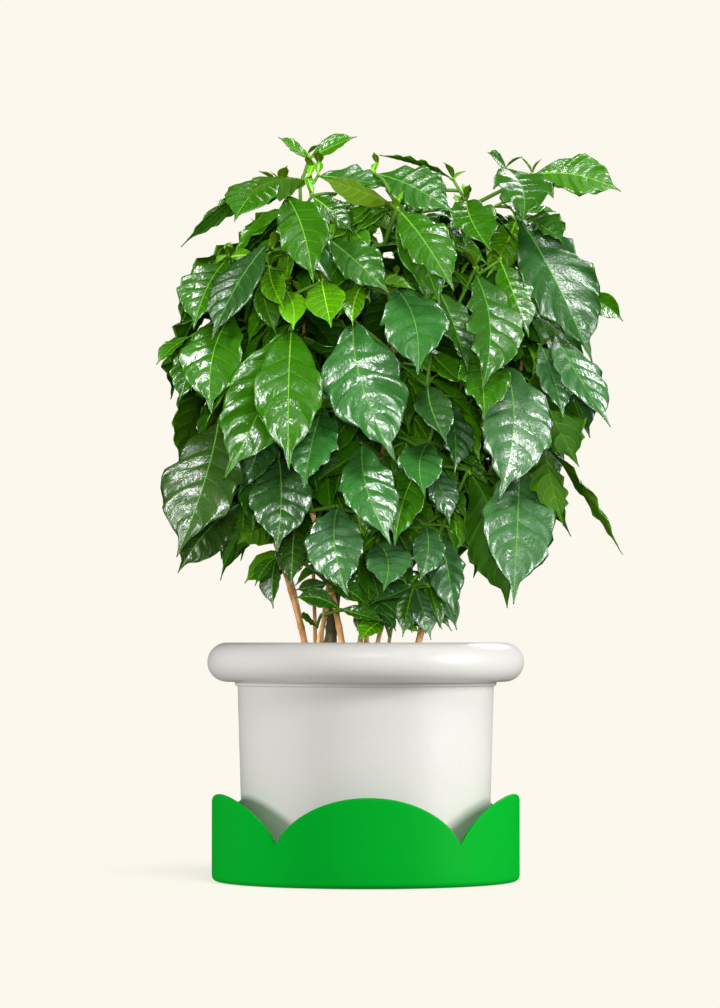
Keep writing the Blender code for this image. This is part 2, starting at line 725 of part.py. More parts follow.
def one_closed_body(mesh):
    """Welds slivers and drops loose scraps and sealed hollows. True where the rest is closed."""
    shell = bmesh.new()
    shell.from_mesh(mesh)
    bmesh.ops.triangulate(shell, faces=shell.faces)
    bmesh.ops.remove_doubles(shell, verts=shell.verts, dist=SLIVER)
    for body in bodies_of(shell)[:-1]:
        bmesh.ops.delete(shell, geom=body, context="FACES")
    closed = all(len(edge.link_faces) == 2 for edge in shell.edges)
    shell.to_mesh(mesh)
    shell.free()
    return closed


def make_mass(mass, collection, material):
    """One union of the mass's stem with all its twigs and leaves, applied. A union that isn't
    closed is made again with the pieces moved by less than a hair's breadth."""
    draw = random.Random(SEED)
    pieces = new_collection(mass.name + "_pieces")
    stem = add_object(mass.name, solid_mesh(mass.name, mass.parts[0]), collection)
    for number, rings in enumerate(mass.parts[1:]):
        name = f"{mass.name}_piece_{number}"
        add_object(name, solid_mesh(name, rings), pieces)
    for solver in ["EXACT"] * 4 + ["MANIFOLD"] * 2:
        for piece in pieces.objects:
            piece.location = [draw.uniform(-HAIR, HAIR) for _ in range(3)]
        joined = union_of(stem, pieces, solver)
        if one_closed_body(joined):
            break
    joined.materials.clear()
    joined.materials.append(material)
    stem.data = joined
    for piece in list(pieces.objects):
        bpy.data.objects.remove(piece, do_unlink=True)
    bpy.data.collections.remove(pieces)


# Pot, saucer and soil

def turned(name, profile, collection, material, closed):
    """A profile in the XZ plane turned about the Z axis."""
    mesh = bpy.data.meshes.new(name)
    edges = [(index, index + 1) for index in range(len(profile) - 1)]
    if closed:
        edges.append((len(profile) - 1, 0))
    mesh.from_pydata([(radius, 0, z) for radius, z in profile], edges, [])
    thing = add_object(name, mesh, collection, material)
    screw = thing.modifiers.new("turn", "SCREW")
    screw.steps = POT_STEPS
    screw.render_steps = POT_STEPS
    screw.use_merge_vertices = True
    screw.merge_threshold = 0.00001
    screw.use_smooth_shade = True
    return thing


def arc(centre_r, centre_z, radius, start, end, count):
    """Points of an arc in a profile, with its angles in degrees from +r toward +z."""
    angles = (math.radians(start + (end - start) * step / count) for step in range(count + 1))
    return [(centre_r + radius * math.cos(a), centre_z + radius * math.sin(a)) for a in angles]


def make_pot(collection, material):
    rim_bottom = RIM_TOP_Z - RIM_DEPTH
    roll_r = POT_RIM_RADIUS - RIM_ROLL
    inside = POT_BODY_RADIUS - POT_WALL
    inside_foot = POT_FOOT_RADIUS - POT_WALL
    shelf_edge = RIM_SHELF - inside
    profile = arc(roll_r, RIM_TOP_Z - RIM_ROLL, RIM_ROLL, 90, -90, 8)
    profile += [(POT_NECK_RADIUS, rim_bottom), (POT_NECK_RADIUS, rim_bottom - NECK_DEPTH),
                (POT_BODY_RADIUS, rim_bottom - NECK_DEPTH)]
    profile += arc(POT_FOOT_RADIUS - POT_EDGE, POT_FOOT_Z + POT_EDGE, POT_EDGE, 0, -90, 3)
    profile += [(DRAIN_RADIUS, POT_FOOT_Z), (DRAIN_RADIUS, POT_FOOT_Z + POT_FLOOR)]
    profile += [(inside_foot, POT_FOOT_Z + POT_FLOOR), (inside, RIM_TOP_Z - shelf_edge)]
    profile += arc(RIM_SHELF, RIM_TOP_Z - shelf_edge, shelf_edge, 180, 90, 4)[1:]
    turned("pot", profile, collection, material, closed=True)


def make_soil(collection, material):
    inside_foot = POT_FOOT_RADIUS - POT_WALL - SOIL_GAP
    inside = POT_BODY_RADIUS - POT_WALL - SOIL_GAP
    floor = POT_FOOT_Z + POT_FLOOR + CLEARANCE
    profile = [(0, SOIL_Z), (inside, SOIL_Z), (inside_foot, floor), (0, floor)]
    turned("soil", profile, collection, material, closed=False)


def saucer_height(angle):
    """The scalloped edge: each petal falls away round its peak to a dip at either side."""
    petal = math.tau / PETALS
    from_front = angle + math.pi / 2 - PETAL_TURN
    u = abs((from_front + petal / 2) % petal - petal / 2) / (petal / 2)
    return SAUCER_DIP + (SAUCER_PEAK - SAUCER_DIP) * max(1 - u * u, 0) ** PETAL_ROUND


def make_saucer(collection, material):
    """An open skin from the middle of the floor to the scalloped edge, thickened inward."""
    petal = math.tau / PETALS
    angles = []
    for number in range(PETALS):
        middle = number * petal - math.pi / 2 + PETAL_TURN
        for step in range(PETAL_STEPS):
            across = math.sin(math.pi / 2 * (2 * step / PETAL_STEPS - 1))
            angles.append(middle + petal / 2 * across)
    edge_r = SAUCER_RADIUS - SAUCER_EDGE
    fillet = arc(edge_r, SAUCER_EDGE, SAUCER_EDGE, -90, 0, 2)
    shell = bmesh.new()
    middle = shell.verts.new((0, 0, 0))
    rings = []
    for radius, z in fillet + [(SAUCER_RADIUS, None)]:
        rings.append([shell.verts.new((radius * math.cos(a), radius * math.sin(a),
                                       saucer_height(a) if z is None else z)) for a in angles])
    count = len(angles)
    for index in range(count):
        after = (index + 1) % count
        shell.faces.new((middle, rings[0][after], rings[0][index]))
        for lower, upper in zip(rings, rings[1:]):
            shell.faces.new((lower[index], lower[after], upper[after], upper[index]))
    bmesh.ops.recalc_face_normals(shell, faces=shell.faces)
    mesh = bpy.data.meshes.new("saucer")
    shell.to_mesh(mesh)
    shell.free()
    thing = add_object("saucer", mesh, collection, material)
    solidify = thing.modifiers.new("wall", "SOLIDIFY")
    solidify.thickness = SAUCER_WALL
    solidify.offset = -1
    solidify.use_even_offset = True


def main():
    clear_scene()
    plant = new_collection("potted_coffee_plant")
    make_saucer(plant, make_material("green_saucer", (0.0, 0.32, 0.02), 0.42))
    make_pot(plant, make_material("white_glaze", (0.78, 0.76, 0.72), 0.18))
    make_soil(plant, make_material("soil", (0.045, 0.028, 0.018), 0.95))
    bark = make_material("bark", (0.20, 0.13, 0.07), 0.8)
    for limb in LIMBS:
        make_limb(limb, plant, bark)
    placed = []
    masses = start_masses(placed)
    grow_shown(masses, placed)
    grow_shell(masses, placed)
    grow_tops(masses, placed)
    green = make_material("leaf", (0.05, 0.16, 0.03), 0.3)
    for mass in masses:
        make_mass(mass, plant, green)


main()
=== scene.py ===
"""Potted coffee plant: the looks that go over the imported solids. The twigs and leaves grow by the
rule of the solids, with finer twigs between them, and the pot, saucer, soil and stems get finer
forms of the same sizes. -Y is the side that the photograph shows."""

import json
import math
import random
from collections import namedtuple

import bpy
import numpy as np
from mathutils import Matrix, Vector, noise
from mathutils.bvhtree import BVHTree

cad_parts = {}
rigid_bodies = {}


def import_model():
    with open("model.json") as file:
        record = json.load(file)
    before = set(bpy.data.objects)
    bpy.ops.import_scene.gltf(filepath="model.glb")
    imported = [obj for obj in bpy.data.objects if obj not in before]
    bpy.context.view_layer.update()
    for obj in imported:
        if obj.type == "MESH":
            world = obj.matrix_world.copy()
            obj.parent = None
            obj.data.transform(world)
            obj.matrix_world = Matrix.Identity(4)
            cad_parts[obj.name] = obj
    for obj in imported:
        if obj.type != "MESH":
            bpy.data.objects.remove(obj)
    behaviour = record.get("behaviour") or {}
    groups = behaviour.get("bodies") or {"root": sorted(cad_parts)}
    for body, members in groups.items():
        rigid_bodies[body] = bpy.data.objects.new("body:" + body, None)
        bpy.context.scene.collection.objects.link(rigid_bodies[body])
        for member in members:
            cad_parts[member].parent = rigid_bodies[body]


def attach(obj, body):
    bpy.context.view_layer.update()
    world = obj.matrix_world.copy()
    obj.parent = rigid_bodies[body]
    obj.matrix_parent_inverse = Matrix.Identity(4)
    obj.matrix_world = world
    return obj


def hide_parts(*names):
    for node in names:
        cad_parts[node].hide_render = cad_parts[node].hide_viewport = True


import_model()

# Driving dimensions of the pot, its saucer and its soil. A wave of the soil is its scale and height.
CLEARANCE = 0.0003
SAUCER_RADIUS = 0.1075
SAUCER_WALL = 0.0025
SAUCER_PEAK = 0.0615
SAUCER_DIP = 0.0275
SAUCER_EDGE = 0.004
PETALS = 5
PETAL_TURN = math.radians(1.0)
PETAL_ROUND = 0.7
POT_HEIGHT = 0.1632
POT_RIM_RADIUS = 0.1107
POT_NECK_RADIUS = 0.0914
POT_BODY_RADIUS = 0.0896
POT_FOOT_RADIUS = 0.0858
POT_WALL = 0.007
POT_FLOOR = 0.008
POT_EDGE = 0.006
RIM_DEPTH = 0.0273
RIM_SHELF = 0.092
NECK_DEPTH = 0.0028
DRAIN_RADIUS = 0.006
POT_CORNER = 0.0012
AXIS_GAP = 0.0005
POT_SIDES = 160
SAUCER_SIDES = PETALS * 64
SOIL_BELOW_RIM = 0.016
SOIL_GAP = 0.0006
SOIL_DIP = 0.0012
SOIL_WAVES = ((70, 0.0022), (260, 0.0016))
SOIL_RINGS = 46
SOIL_SIDES = 120
CRUMBS = 900
CRUMB_SIZES = (0.0008, 0.0011, 0.0014, 0.002, 0.0028)

# Driving dimensions of the crown, whose middle stands a little to the right of the pot's. Slants
# and droops are in degrees, and faces are how much of a leaf's width shows.
CROWN_X = 0.010
CROWN_HALF_WIDTH = 0.150
CROWN_HALF_DEPTH = 0.145
CROWN_TOP = 0.520
CROWN_MIDDLE = 0.335
CROWN_FOOT = 0.150
CROWN_ROUND = 2.2
CROWN_FULL_ABOVE = 0.6
CROWN_FULL_BELOW = 0.4
DRAWN_TOP = 0.478
DRAWN_FOOT = 0.205
FRONT_SHARE = 0.50
SHELL_FOOT = 0.285
SHELL_TOP = 0.458
SHELL_ROWS = 9
SHELL_SHARE = 0.48
SHELL_ARC = math.radians(125)
SHELL_SPACING = 0.034
SHELL_LENGTHS = (0.75, 1.0)
SHELL_SLANTS = (8, 48)
SHELL_SPREAD = 15
SHELL_FACES = (1.0, 0.95, 0.8, 0.45)
TIP_ROOM = 0.012

# Driving dimensions of a leaf. A slender share is its width as a share of its length, a fold is
# how far its edges rise as a share of its half width, and a bow how far its midrib arches.
LEAF_LENGTH = 0.102
LEAF_LONGEST = 0.122
LEAF_SLENDER_YOUNG = 0.44
LEAF_SLENDER_OLD = 0.5
LEAF_THICK = 0.016
LEAF_BOW = 0.16
LEAF_BOW_AT = 0.45
LEAF_FOLD = 0.16
LEAF_STRETCHES = (0.24, 0.66)
LEAF_LIFTS = (0.0, 0.14, 0.28, 0.42)
LEAF_LEAN = 1.06
FACE_OUT = 0.85
FACE_UP = 0.45
FACE_ASIDE = 0.3
PETIOLE_SHARE = 0.09
PETIOLE_ARCH = 0.03
PETIOLE_RADIUS = 0.0006

# Driving dimensions of the stems and twigs, and of the room that they keep to each other
TWIG_RADIUS = 0.0018
TWIG_SIDES = 3
TWIG_STEPS = 2
TWIG_SAGS = (0.0, -0.25, 0.25)
STEM_END_RADIUS = 0.0014
STEM_SIDES = 5
STEM_STEPS = 4
STEM_START = 0.004
LIMB_STEP = 0.015
LIMB_ARCH = 0.17
LIMB_FLARE = 0.45
LIMB_FLARE_RISE = 1.6
UPRIGHT_FOOT = 0.0015
LEAF_ROOM = 0.001
FILL_BEHIND = -0.012
TWIG_ROOM = 0.0006
LIMB_ROOM = 0.0008
PUSH = 0.003
PUSHES = 16
REACH_ABOVE = 0.03
RISE_LEAST = 0.004
FALL_COST = 0.03
STRAY_COST = 0.8
ROUTE_TRIES = 24
TOP_PAIRS = (3.35, 3.95)
PAIR_DROOPS = (74, 26)
PAIR_LENGTHS = (0.86, 1.06)
PAIR_SIZES = (1.0, 0.85, 0.7)
PAIR_LIFTS = (0.0, 0.3, -0.3, 0.6, 0.9)
PAIR_SWINGS = (0.0, 0.35, -0.35, 0.7, -0.7)
SEED = 11

# Sizes that follow from those
POT_FOOT_Z = SAUCER_WALL + CLEARANCE
RIM_TOP_Z = POT_FOOT_Z + POT_HEIGHT
SOIL_Z = RIM_TOP_Z - SOIL_BELOW_RIM
GROUND_Z = SOIL_Z + CLEARANCE
RIM_ROLL = RIM_DEPTH / 2

# The parts of a blade's upper side, and a twig's materials
BLADE, VEIN, RIM, MIDRIB = range(4)
TWIG_YOUNG, TWIG_GREEN, TWIG_BARK = range(3)

# Driving dimensions of what only the looks have. Roughness of the bark is its scale across, its
# scale along and its height as a share of the limb's radius.
BLADE_THICK = 0.0004
BLADE_WIDEST = 1.38
BLADE_FULL = 0.70
BLADE_WIDTH = 0.060
BLADE_LEAST = 0.0004
GUTTER = 0.03
SMALL_BLADE = 0.022
TIP_OUT = 0.035
STALK_SHARE = 0.45
TIP_FROM = 0.89
TIP_START = 0.78
TIP_WIDTH = 0.26
MIDRIB_HALF = 0.0004
VEIN_HALF = 0.00035
VEIN_SWEEP = 0.21
VEIN_FIRST = 0.10
VEIN_LAST = 0.84
TWIG_THIN = (0.0009, 0.0013)
STALK_RADII = (0.0010, 0.0009, 0.0008)
STALK_ARCH = 0.0004
TURN_EASE = 0.45
TURN_EDGE = math.radians(64)
ROLLED_WIDE = 0.45
ROLLED_TWIST = 0.4
YOUNG_AGE = 0.2
YOUNG_CALM = 0.35
NET_SCALE = 330
BARK_STEP = 0.0015
BARK_SIDES = 14
BARK_NODE = 0.026
BARK_NODE_HALF = 0.0016
BARK_NODE_RISE = 0.16
BARK_NODE_FIRST = 0.004
BARK_ROUGH = ((260, 260, 0.09), (900, 220, 0.07))
PIPE_CLOSE = 0.02
GREEN_ABOVE = 0.385
BUD_ABOVE = 0.395
BUD_LENGTHS = (0.010, 0.017)

# How much of its folds a leaf keeps and how far out it is held, from the first choice to the last
SETTLE_WAYS = ((1.0, 0.0), (1.0, 0.0015), (1.0, 0.003), (0.6, 0.0), (0.6, 0.002), (0.6, 0.004),
               (0.3, 0.003), (0.3, 0.006), (0.0, 0.006), (0.0, 0.010))

# Leaves that fill the gaps of the crown and of its foot
FILL_TRIES = 640
FILL_LENGTHS = (0.044, 0.097)
FILL_ROOM = 0.0002
FILL_RISES = (-0.1, 0.6)
FILL_REACHES = (0.008, 0.030)
FILL_BACK = 0.02
FILL_AGES = (0.3, 0.6)
FILL_SLANTS = (5, 60)
FILL_FACES = (1.0, 0.9, 0.7)
FILL_SIZES = (1.0, 0.8, 0.6)
FILL_SAG = 0.1
FOOT_TRIES = 160
FOOT_LENGTHS = (0.024, 0.046)
FOOT_LOW, FOOT_HIGH = 0.172, 0.262
FOOT_LEFT, FOOT_RIGHT = -0.008, 0.064
FOOT_FRONT, FOOT_BACK = -0.072, 0.070
# Painted light: the leaves that fill the crown's gaps take lighter greens than their age would give,
# standing in for the light that bounces and shines through into the shaded inside of the crown
FILL_PAINTED_LIGHT_TONES = (1, 2, 2, 3, 3)
FOOT_TONES = (1, 2, 3, 4, 7, 9)

# A leaf's two grids, the fine and the plain: pairs of side veins, rows from one to the next, and
# the columns from the midrib out
GRIDS = ((7, 3, (0.0, 0.3, 0.58, 0.82, 0.94, 1.0)), (5, 2, (0.0, 0.45, 0.85, 1.0)))

# How the leaves vary, in the order of the draws, with heights as shares of the half width, and
# what a young leaf has less of
LOOK = {"wide": (0.91, 1.03), "fold": (1.1, 2.8), "bulge": (0.08, 0.24), "ripples": (4.4, 7.2),
        "ripple": (0.10, 0.26), "phase": (0, 1), "other": (0, 1), "curl": (0.03, 0.09),
        "lobes": (0.04, 0.09), "scallops": (3.5, 5.5), "stagger": (-0.012, 0.012),
        "twist": (-0.5, 0.5), "bend": (-0.08, 0.08)}
CALMER = ("bulge", "ripple", "lobes")

# Camera and backdrop
CAMERA_LENS = 147.96
CAMERA_AWAY = 2.9
CAMERA_X = -0.004
CAMERA_Z = 0.166
AIM_Z = 0.263
CREAM = (252, 248, 237)
FLOOR_SHARE = 0.21
FLOOR_ALBEDO = 0.90
FLOOR_LIGHT = (0.27, -0.84, 1.0)
FLOOR_SOFT = math.radians(26)
AMBIENT = 0.36

# Each lamp's place, aim, size and power in watts, and what it lights. A soft one makes no glint.
LAMPS = (
    ("key", (2.45, -1.0, 0.9), (0, 0, 0.25), (0.6, 1.2), 72, "object"),
    ("soft_side", (-2.2, -0.8, 0.32), (0, 0, 0.2), (0.35, 0.6), 29, "object"),
    ("front", (0.1, -1.6, 1.6), (0, 0, 0.2), (0.9, 0.5), 10, "object"),
    ("top", (0.1, -0.2, 2.3), (0, 0, 0.3), (1.2, 1.0), 4, "object"),
    ("back", (0.7, 1.9, 1.6), (0, 0, 0.3), (1.2, 0.8), 26, "object"),
    ("leaf_right", (0.6, -1.6, 2.2), (0, 0, 0.35), (0.65, 0.6), 84, "plant"),
    ("leaf_left", (-1.3, -1.7, 1.4), (0, 0, 0.35), (0.55, 0.65), 62, "plant"),
    ("leaf_front", (-0.1, -3.3, 1.0), (0, 0, 0.33), (3.2, 2.2), 20, "plant"),
    ("soft_front", (0.0, -3.0, 0.4), (0, 0, 0.33), (0.5, 0.5), 80, "plant"),
    ("soft_back", (0.0, 3.0, 0.6), (0, 0, 0.33), (0.8, 0.8), 60, "plant"),
)

# Upper sides of the leaves from young to old, with the range of their roughness and their IOR
BLADES = (
    ("leaf_lime", (66, 120, 2), 0.22, 0.34, 1.50),
    ("leaf_bright", (52, 98, 2), 0.19, 0.31, 1.50),
    ("leaf_fresh", (39, 83, 3), 0.17, 0.28, 1.55),
    ("leaf_green", (31, 73, 3), 0.17, 0.28, 1.60),
    ("leaf_deep", (30, 70, 8), 0.22, 0.34, 1.52),
    ("leaf_blue", (25, 60, 20), 0.24, 0.36, 1.54),
    ("leaf_dark", (26, 56, 18), 0.21, 0.34, 1.68),
    ("leaf_dusk", (30, 54, 10), 0.21, 0.34, 1.54),
    ("leaf_silver", (37, 74, 34), 0.22, 0.38, 1.88),
    ("leaf_jade", (32, 76, 26), 0.19, 0.32, 1.68),
)
# A leaf's other parts and their roughness, then their colours for young, green and dark leaves,
# and where in BLADES the green and the dark ones start
RIB_PARTS = (("vein", 0.4), ("midrib", 0.4), ("underside", 0.55), ("underside_rib", 0.5))
RIBS = {
    "young": ((76, 134, 10), (110, 160, 36), (50, 74, 3), (66, 96, 16)),
    "green": ((46, 96, 16), (80, 124, 32), (36, 66, 4), (50, 84, 12)),
    "dark": ((36, 80, 30), (70, 112, 42), (26, 58, 3), (44, 80, 14)),
}
RIBS_FROM = (2, 4)
TONES_BY_AGE = 6
TONE_DRIFT = 0.6
TONE_OLDEST = 7

# Colours of the glaze and the saucer as shares of light, and the tones of the barks and the soil
# by where they start in the noise that mixes them
BARKS = {
    "twig_bark": ((0.35, (84, 74, 44)), (0.6, (128, 100, 62))),
    "bark_tan": ((0.30, (122, 84, 44)), (0.50, (176, 130, 80)), (0.72, (214, 178, 130))),
    "bark_grey": ((0.30, (32, 34, 20)), (0.52, (66, 66, 40)), (0.74, (120, 112, 78))),
}
GLAZE = (0.76, 0.74, 0.70)
SAUCER_GREEN = (0.0, 0.40, 0.022)
SOIL_TONES = ((0.30, (28, 20, 15)), (0.55, (62, 45, 33)), (0.75, (104, 82, 60)))

# Each limb: its foot on the soil, its tip where it enters its mass, its radius at both, and the
# mass with the point that the mass's own stem climbs to
Limb = namedtuple("Limb", "name foot tip radius tip_radius mass top")
LIMBS = (
    Limb("trunk", (-0.026, 0.004), (-0.012, 0.005, 0.270), 0.0043, 0.0030,
         "foliage_middle", (0.004, 0.000, 0.470)),
    Limb("stem_left", (-0.039, -0.012), (-0.075, -0.010, 0.265), 0.0022, 0.0017,
         "foliage_left", (-0.092, -0.012, 0.420)),
    Limb("stem_front", (-0.014, -0.030), (-0.039, -0.036, 0.262), 0.0022, 0.0017,
         "foliage_front_left", (-0.050, -0.055, 0.400)),
    Limb("stem_crossing", (-0.036, -0.040), (-0.002, -0.045, 0.260), 0.0016, 0.0014,
         "foliage_front", (0.016, -0.062, 0.405)),
    Limb("stem_middle", (-0.006, 0.014), (0.022, 0.020, 0.300), 0.0019, 0.0015,
         "foliage_top_right", (0.068, 0.010, 0.470)),
    Limb("stem_right", (0.005, -0.020), (0.044, -0.026, 0.280), 0.0016, 0.0013,
         "foliage_front_right", (0.078, -0.050, 0.420)),
    Limb("stem_far_right", (0.033, -0.004), (0.079, 0.000, 0.270), 0.0019, 0.0015,
         "foliage_right", (0.112, 0.004, 0.440)),
    Limb("stem_thin", (-0.035, 0.014), (-0.040, 0.012, 0.300), 0.0014, 0.0012,
         "foliage_top_left", (-0.046, -0.004, 0.485)),
    Limb("stem_back_left", (-0.040, 0.036), (-0.070, 0.058, 0.265), 0.0019, 0.0015,
         "foliage_back_left", (-0.078, 0.076, 0.430)),
    Limb("stem_back", (0.000, 0.046), (0.006, 0.074, 0.270), 0.0019, 0.0015,
         "foliage_back", (0.008, 0.086, 0.450)),
    Limb("stem_back_right", (0.034, 0.034), (0.066, 0.058, 0.268), 0.0019, 0.0015,
         "foliage_back_right", (0.086, 0.066, 0.435)),
    Limb("shoot_low_right", (0.014, -0.036), (0.016, -0.038, 0.166), 0.0014, 0.0012,
         "foliage_low_right", (0.024, -0.046, 0.206)),
    Limb("shoot_low_left", (-0.030, -0.056), (-0.030, -0.058, 0.162), 0.0012, 0.0011,
         "foliage_low_left", (-0.026, -0.058, 0.206)),
)

# The leaves that face the viewer, lowest first, by the node that a few of them share: its x and
# z, its age from 0 lime to 1 dark, the green of each leaf as its place in BLADES, and each leaf's
# tip x, tip z and width as seen. A narrow width is a blade that turns its edge, and a negative
# one shows its underside. Lengths are in millimetres.
SHOWN = (
    (-34, 177, 0.20, "3", ((-46, 184, 11),)),
    (13, 182, 0.05, "1", ((-5, 167, 17),)),
    (-18, 189, 0.30, "33", ((14, 180, 13), (-50, 197, 9))),
    (34, 206, 0.70, "893", ((46, 168, 18), (3, 193, 12), (26, 170, 14))),
    (-26, 207, 0.60, "73", ((-50, 203, 10), (0, 193, 10))),
    (8, 236, 0.55, "8", ((12, 201, 34),)),
    (52, 243, 0.60, "8", ((63, 184, 17),)),
    (42, 248, 0.60, "8", ((37, 208, 26),)),
    (-62, 226, 0.70, "73", ((-65, 190, 13), (-78, 206, 11))),
    (-50, 246, 0.60, "73", ((-52, 205, 26), (-89, 233, -26))),
    (-20, 262, 0.90, "82", ((-12, 197, 42), (-33, 220, 14))),
    (-86, 264, 0.85, "73", ((-132, 215, 17), (-88, 238, 14))),
    (72, 287, 0.45, "7", ((99, 190, -40),)),
    (40, 292, 0.40, "83", ((59, 248, 22), (20, 232, 30))),
    (108, 292, 0.80, "8", ((101, 192, 56),)),
    (-74, 290, 0.90, "4", ((-79, 242, 20),)),
    (-61, 297, 0.80, "6", ((-62, 228, 44),)),
    (-3, 306, 0.90, "9", ((18, 232, 40),)),
    (44, 306, 0.95, "9", ((41, 267, 34),)),
    (123, 306, 0.65, "33", ((179, 227, 11), (137, 246, -20))),
    (-102, 323, 1.00, "7", ((-131, 225, 60),)),
    (-70, 326, 0.90, "6", ((-90, 268, 30),)),
    (-30, 331, 0.75, "9", ((-43, 272, 42),)),
    (54, 338, 0.50, "5", ((62, 284, 16),)),
    (43, 346, 0.95, "6", ((57, 303, 28),)),
    (118, 356, 0.80, "4", ((148, 288, -44),)),
    (97, 360, 0.80, "8", ((91, 262, 54),)),
    (46, 368, 0.70, "2", ((73, 345, 20),)),
    (76, 372, 0.90, "3", ((82, 320, 40),)),
    (122, 374, 0.85, "8", ((138, 322, 28),)),
    (132, 362, 0.85, "8", ((158, 310, 20),)),
    (130, 380, 0.85, "8", ((169, 313, 34),)),
    (-121, 381, 0.80, "23", ((-148, 362, 9), (-132, 335, 22))),
    (-52, 387, 0.70, "33", ((-99, 278, 36), (-53, 284, 50))),
    (-10, 393, 0.95, "9", ((21, 291, 58),)),
    (-92, 399, 0.55, "3", ((-107, 324, 46),)),
    (150, 409, 0.60, "2", ((182, 393, 9),)),
    (51, 411, 0.75, "4", ((71, 354, 24),)),
    (21, 415, 0.90, "9", ((36, 350, 50),)),
    (-56, 413, 0.08, "0", ((-51, 385, 20),)),
    (-2, 417, 0.05, "11", ((-9, 389, 16), (35, 415, 10))),
    (-31, 419, 0.05, "1", ((-24, 385, 29),)),
    (76, 427, 1.00, "4", ((80, 340, 35),)),
    (-73, 420, 0.05, "2", ((-63, 383, 16),)),
    (-68, 428, 0.05, "1", ((-57, 400, 20),)),
    (94, 434, 0.25, "33", ((115, 380, 30), (126, 352, 30))),
    (-96, 436, 0.75, "311", ((-120, 384, 38), (-105, 433, 6), (-78, 440, 6))),
    (-66, 441, 0.95, "6", ((-106, 372, 32),)),
    (-26, 448, 0.70, "4", ((17, 410, 34),)),
    (106, 463, 0.80, "451", ((139, 445, 26), (158, 360, 58), (85, 423, 24))),
    (22, 467, 0.85, "33", ((52, 400, 34), (61, 408, 38))),
    (112, 468, 0.60, "2", ((135, 471, 8),)),
    (70, 476, 0.70, "32", ((88, 438, 34), (74, 485, 5))),
    (-56, 478, 0.85, "93", ((-24, 418, 30), (-36, 413, 38))),
    (-38, 479, 0.50, "3", ((-8, 455, 12),)),
    (-40, 490, 0.60, "31", ((-88, 470, -34), (-57, 484, 9))),
    (-58, 484, 0.80, "3", ((-89, 450, 36),)),
    (-62, 487, 0.70, "3", ((-130, 444, 7),)),
    (62, 490, 0.50, "3", ((9, 510, 10),)),
    (-34, 493, 0.80, "4", ((20, 486, 22),)),
    (20, 470, 0.15, "1", ((-32, 492, -22),)),
    (6, 494, 0.85, "4", ((62, 466, 36),)),
    (116, 494, 0.85, "2", ((180, 484, 25),)),
    (99, 498, 0.75, "44", ((108, 456, 46), (86, 512, 13))),
    (-40, 505, 0.55, "22", ((-62, 524, 9), (-6, 524, 18))),
)

UP = Vector((0, 0, 1))
Skin = namedtuple("Skin", "tree low high kind mass")
Leaf = namedtuple("Leaf", "root base tip facing width turn")
Mass = namedtuple("Mass", "name top stem network twigs leaves")


# Solids from rings of points

def loft(rings):
    """Points and triangles of a closed solid through rings; the last ring may be one point."""
    count = len(rings[0])
    points = [point for ring in rings for point in ring]
    faces = [(0, index, index + 1) for index in range(1, count - 1)]
    start = 0
    for ring, following in zip(rings, rings[1:]):
        upper = start + len(ring)
        for index in range(count):
            after = (index + 1) % count
            if len(following) == 1:
                faces.append((start + after, start + index, upper))
            else:
                faces.append((start + after, start + index, upper + index))
                faces.append((start + after, upper + index, upper + after))
        start = upper
    if len(rings[-1]) == count:
        faces.extend((start, start + index + 1, start + index) for index in range(1, count - 1))
    return points, faces


def tube_rings(points, radii, sides):
    """Rings of a tapering tube along some points, carried on without a twist."""
    rings = []
    side = None
    for index, point in enumerate(points):
        before = points[max(index - 1, 0)]
        after = points[min(index + 1, len(points) - 1)]
        along = (after - before).normalized()
        side = along.orthogonal() if side is None else side - along * side.dot(along)
        side.normalize()
        across = along.cross(side)
        angles = (math.tau * step / sides for step in range(sides))
        rings.append([point + (side * math.cos(angle) + across * math.sin(angle)) * radii[index]
                      for angle in angles])
    return rings


def quadratic(start, control, end, t):
    return start * (1 - t) ** 2 + control * (2 * t * (1 - t)) + end * t ** 2


def mix(start, end, share):
    return start + (end - start) * share


# The space that each thing takes

def make_skin(rings, kind, mass):
    points, faces = loft(rings)
    low = tuple(min(point[axis] for point in points) for axis in range(3))
    high = tuple(max(point[axis] for point in points) for axis in range(3))
    return Skin(BVHTree.FromPolygons(points, faces), low, high, kind, mass)


def tube_skin(points, radii, room, sides, kind, mass):
    return make_skin(tube_rings(points, [radius + room for radius in radii], sides), kind, mass)


def boxes_meet(one, other):
    return all(one.low[axis] <= other.high[axis] and other.low[axis] <= one.high[axis]
               for axis in range(3))


def touches(skin, placed, ignore):
    """True where a skin meets anything placed before that the rule doesn't let it ignore."""
    return any(boxes_meet(skin, other) and not ignore(other) and skin.tree.overlap(other.tree)
               for other in placed)


def crown_share(z):
    """How full the crown is at a height, from almost 0 at its ends to 1 at its middle."""
    above = z > CROWN_MIDDLE
    reach = (CROWN_TOP if above else CROWN_FOOT) - CROWN_MIDDLE
    from_middle = min((z - CROWN_MIDDLE) / reach, 0.999)
    return (1 - from_middle ** CROWN_ROUND) ** (CROWN_FULL_ABOVE if above else CROWN_FULL_BELOW)


def depth_at(x, z):
    """How far the crown reaches forward or back at a place seen from the front."""
    share = crown_share(z)
    across = min(abs(x - CROWN_X) / (CROWN_HALF_WIDTH * share), 1.0)
    return CROWN_HALF_DEPTH * share * math.sqrt(1 - across ** 2)


def in_drawn_space(point):
    """Inside the crown, behind the leaves that face the viewer, above the bare stems."""
    if not DRAWN_FOOT < point.z < DRAWN_TOP:
        return False
    share = crown_share(point.z)
    across = (point.x - CROWN_X) / (CROWN_HALF_WIDTH * share)
    deep = point.y / (CROWN_HALF_DEPTH * share)
    behind = point.y > -FRONT_SHARE * depth_at(point.x, point.z)
    return behind and across ** 2 + deep ** 2 < 1


# Leaves

